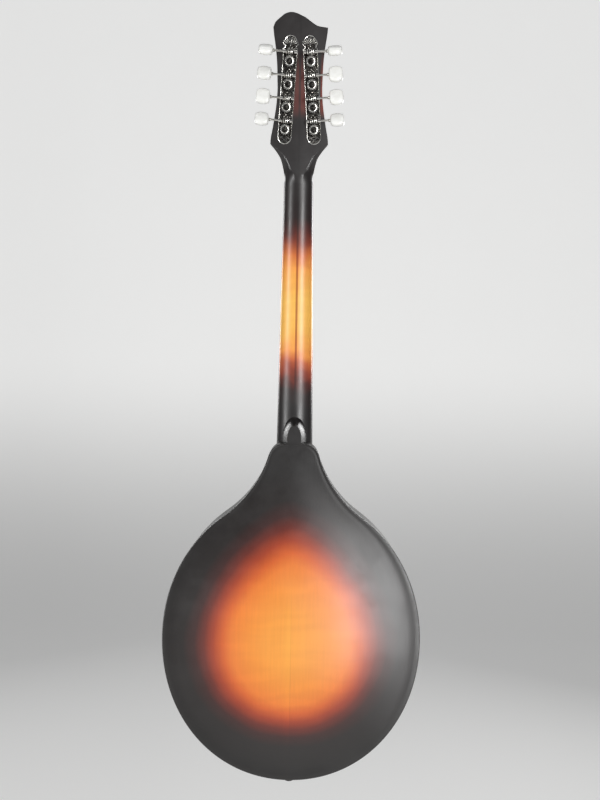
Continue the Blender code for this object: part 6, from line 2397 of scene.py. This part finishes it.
@dataclass
class Studio:
    """The pale room: floor, backdrop, lamps and the camera at the photograph's place."""

    floor: float = -1.50
    wall: float = 4.0
    bend: float = 1.5
    lens: float = 27.0
    roll: float = 0.951
    camera_spot: tuple[float, float, float] = (0.0059, -0.7234, -0.2536)
    pale: Colour = (0.80, 0.80, 0.79)
    glow: float = 0.78
    world: float = 0.15
    lamps: tuple = (
        # place, size, power, how far in front of or behind the instrument it aims
        ((0.54, -1.04, -0.32), (0.13, 1.4), 11.5, 0.0),
        ((-0.84, -0.66, -0.32), (0.13, 1.4), 7.2, 0.0),
        ((0.0, -0.3, 1.3), (1.0, 0.6), 3.0, 0.0),
        ((1.3, 1.6, 0.3), (0.5, 1.1), 20.0, -1.2),
        ((-1.45, 1.7, 0.3), (0.5, 1.1), 14.0, -1.2),
    )

    def build(self) -> None:
        """Set up the floor, the light and the camera."""
        self.sweep()
        self.light()
        self.camera()

    def sweep(self) -> None:
        """Build the floor that curves up into the backdrop."""
        bend = self.bend
        turns = [pi / 2 * step / 24 for step in range(1, 25)]
        profile = [(-3.0, self.floor), (self.wall - bend, self.floor)]
        profile += [(self.wall + bend * (sin(turn) - 1), self.floor + bend * (1 - cos(turn))) for turn in turns]
        profile.append((self.wall, 4.0))
        builder = bmesh.new()
        rows = [[builder.verts.new((x, y, z)) for x in (-5.0, 5.0)] for y, z in profile]
        for near, far in zip(rows, rows[1:]):
            builder.faces.new((near[0], near[1], far[1], far[0]))
        mesh = poured(builder, "backdrop")
        mesh.shade_smooth()
        mesh.materials.append(self.paper())
        linked("backdrop", mesh)

    def paper(self) -> Material:
        """Mix the backdrop's paper, which glows a little where it is seen.

        Returns:
            The material.
        """
        paper, canvas = new_canvas("paper")
        spot = canvas.spot()
        high = canvas.mask(canvas.split(spot)[2], self.floor - 0.3, self.floor + 1.6)
        near, low = (tuple(value * share for value in self.pale) for share in (0.985, 0.8))
        colour = canvas.mix(high, low, canvas.mix(canvas.noise(spot, 3.0), self.pale, near))
        path = canvas.add("ShaderNodeLightPath").outputs
        mirrored = canvas.sum("MAXIMUM", path["Is Glossy Ray"], path["Is Transmission Ray"])
        seen = canvas.sum("MAXIMUM", path["Is Camera Ray"], mirrored)
        shown = canvas.times(seen, canvas.sum("MULTIPLY_ADD", high, 0.48, 0.52))
        canvas.shade(Roughness=0.9, Base_Color=colour, Emission_Color=colour,
                     Emission_Strength=canvas.times(shown, self.glow))
        return paper

    def light(self) -> None:
        """Hang the soft boxes and set the world."""
        for index, (spot, size, power, ahead) in enumerate(self.lamps):
            lamp = bpy.data.lights.new(f"soft_box_{index}", "AREA")
            lamp.shape, lamp.energy = "RECTANGLE", power
            lamp.size, lamp.size_y = size
            obj = linked(lamp.name, lamp)
            aim = Vector((0, ahead, self.camera_spot[2])) - Vector(spot)
            obj.location, obj.rotation_mode = spot, "QUATERNION"
            obj.rotation_quaternion = aim.to_track_quat("-Z", "Y")
        world = bpy.data.worlds.new("room")
        world.use_nodes = True
        bpy.context.scene.world = world
        shader = world.node_tree.nodes["Background"]
        shader.inputs["Color"].default_value = (0.95, 0.96, 1.0, 1.0)
        shader.inputs["Strength"].default_value = self.world

    def camera(self) -> None:
        """Place the camera where the photograph was taken."""
        data = bpy.data.cameras.new("camera")
        data.lens, data.sensor_width = self.lens, 36.0
        data.clip_start, data.clip_end = 0.01, 20.0
        obj = linked("camera", data)
        turn = Matrix.Rotation(pi / 2, 4, "X") @ Matrix.Rotation(radians(self.roll), 4, "Z")
        obj.matrix_world = Matrix.Translation(self.camera_spot) @ turn
        bpy.context.scene.camera = obj
        bpy.context.scene.view_settings.view_transform = "Standard"


def main() -> None:
    """Build every sub-assembly in order."""
    logging.basicConfig(level=logging.INFO, format="%(message)s")
    PAINTS.mix_all()
    Studio().build()
    tuners = Tuners()
    posts = {side: tuners.post_spots(side) for side in Side}
    Body().build()
    Neck(tuple(spot for side in Side for spot in posts[side])).build()
    tuners.build()
    Bridge().build()
    Tailpiece().build()
    Strings(posts).build()
    LOG.info("%d pieces made", len(BENCH.made))


if __name__ == "__main__":
    main()
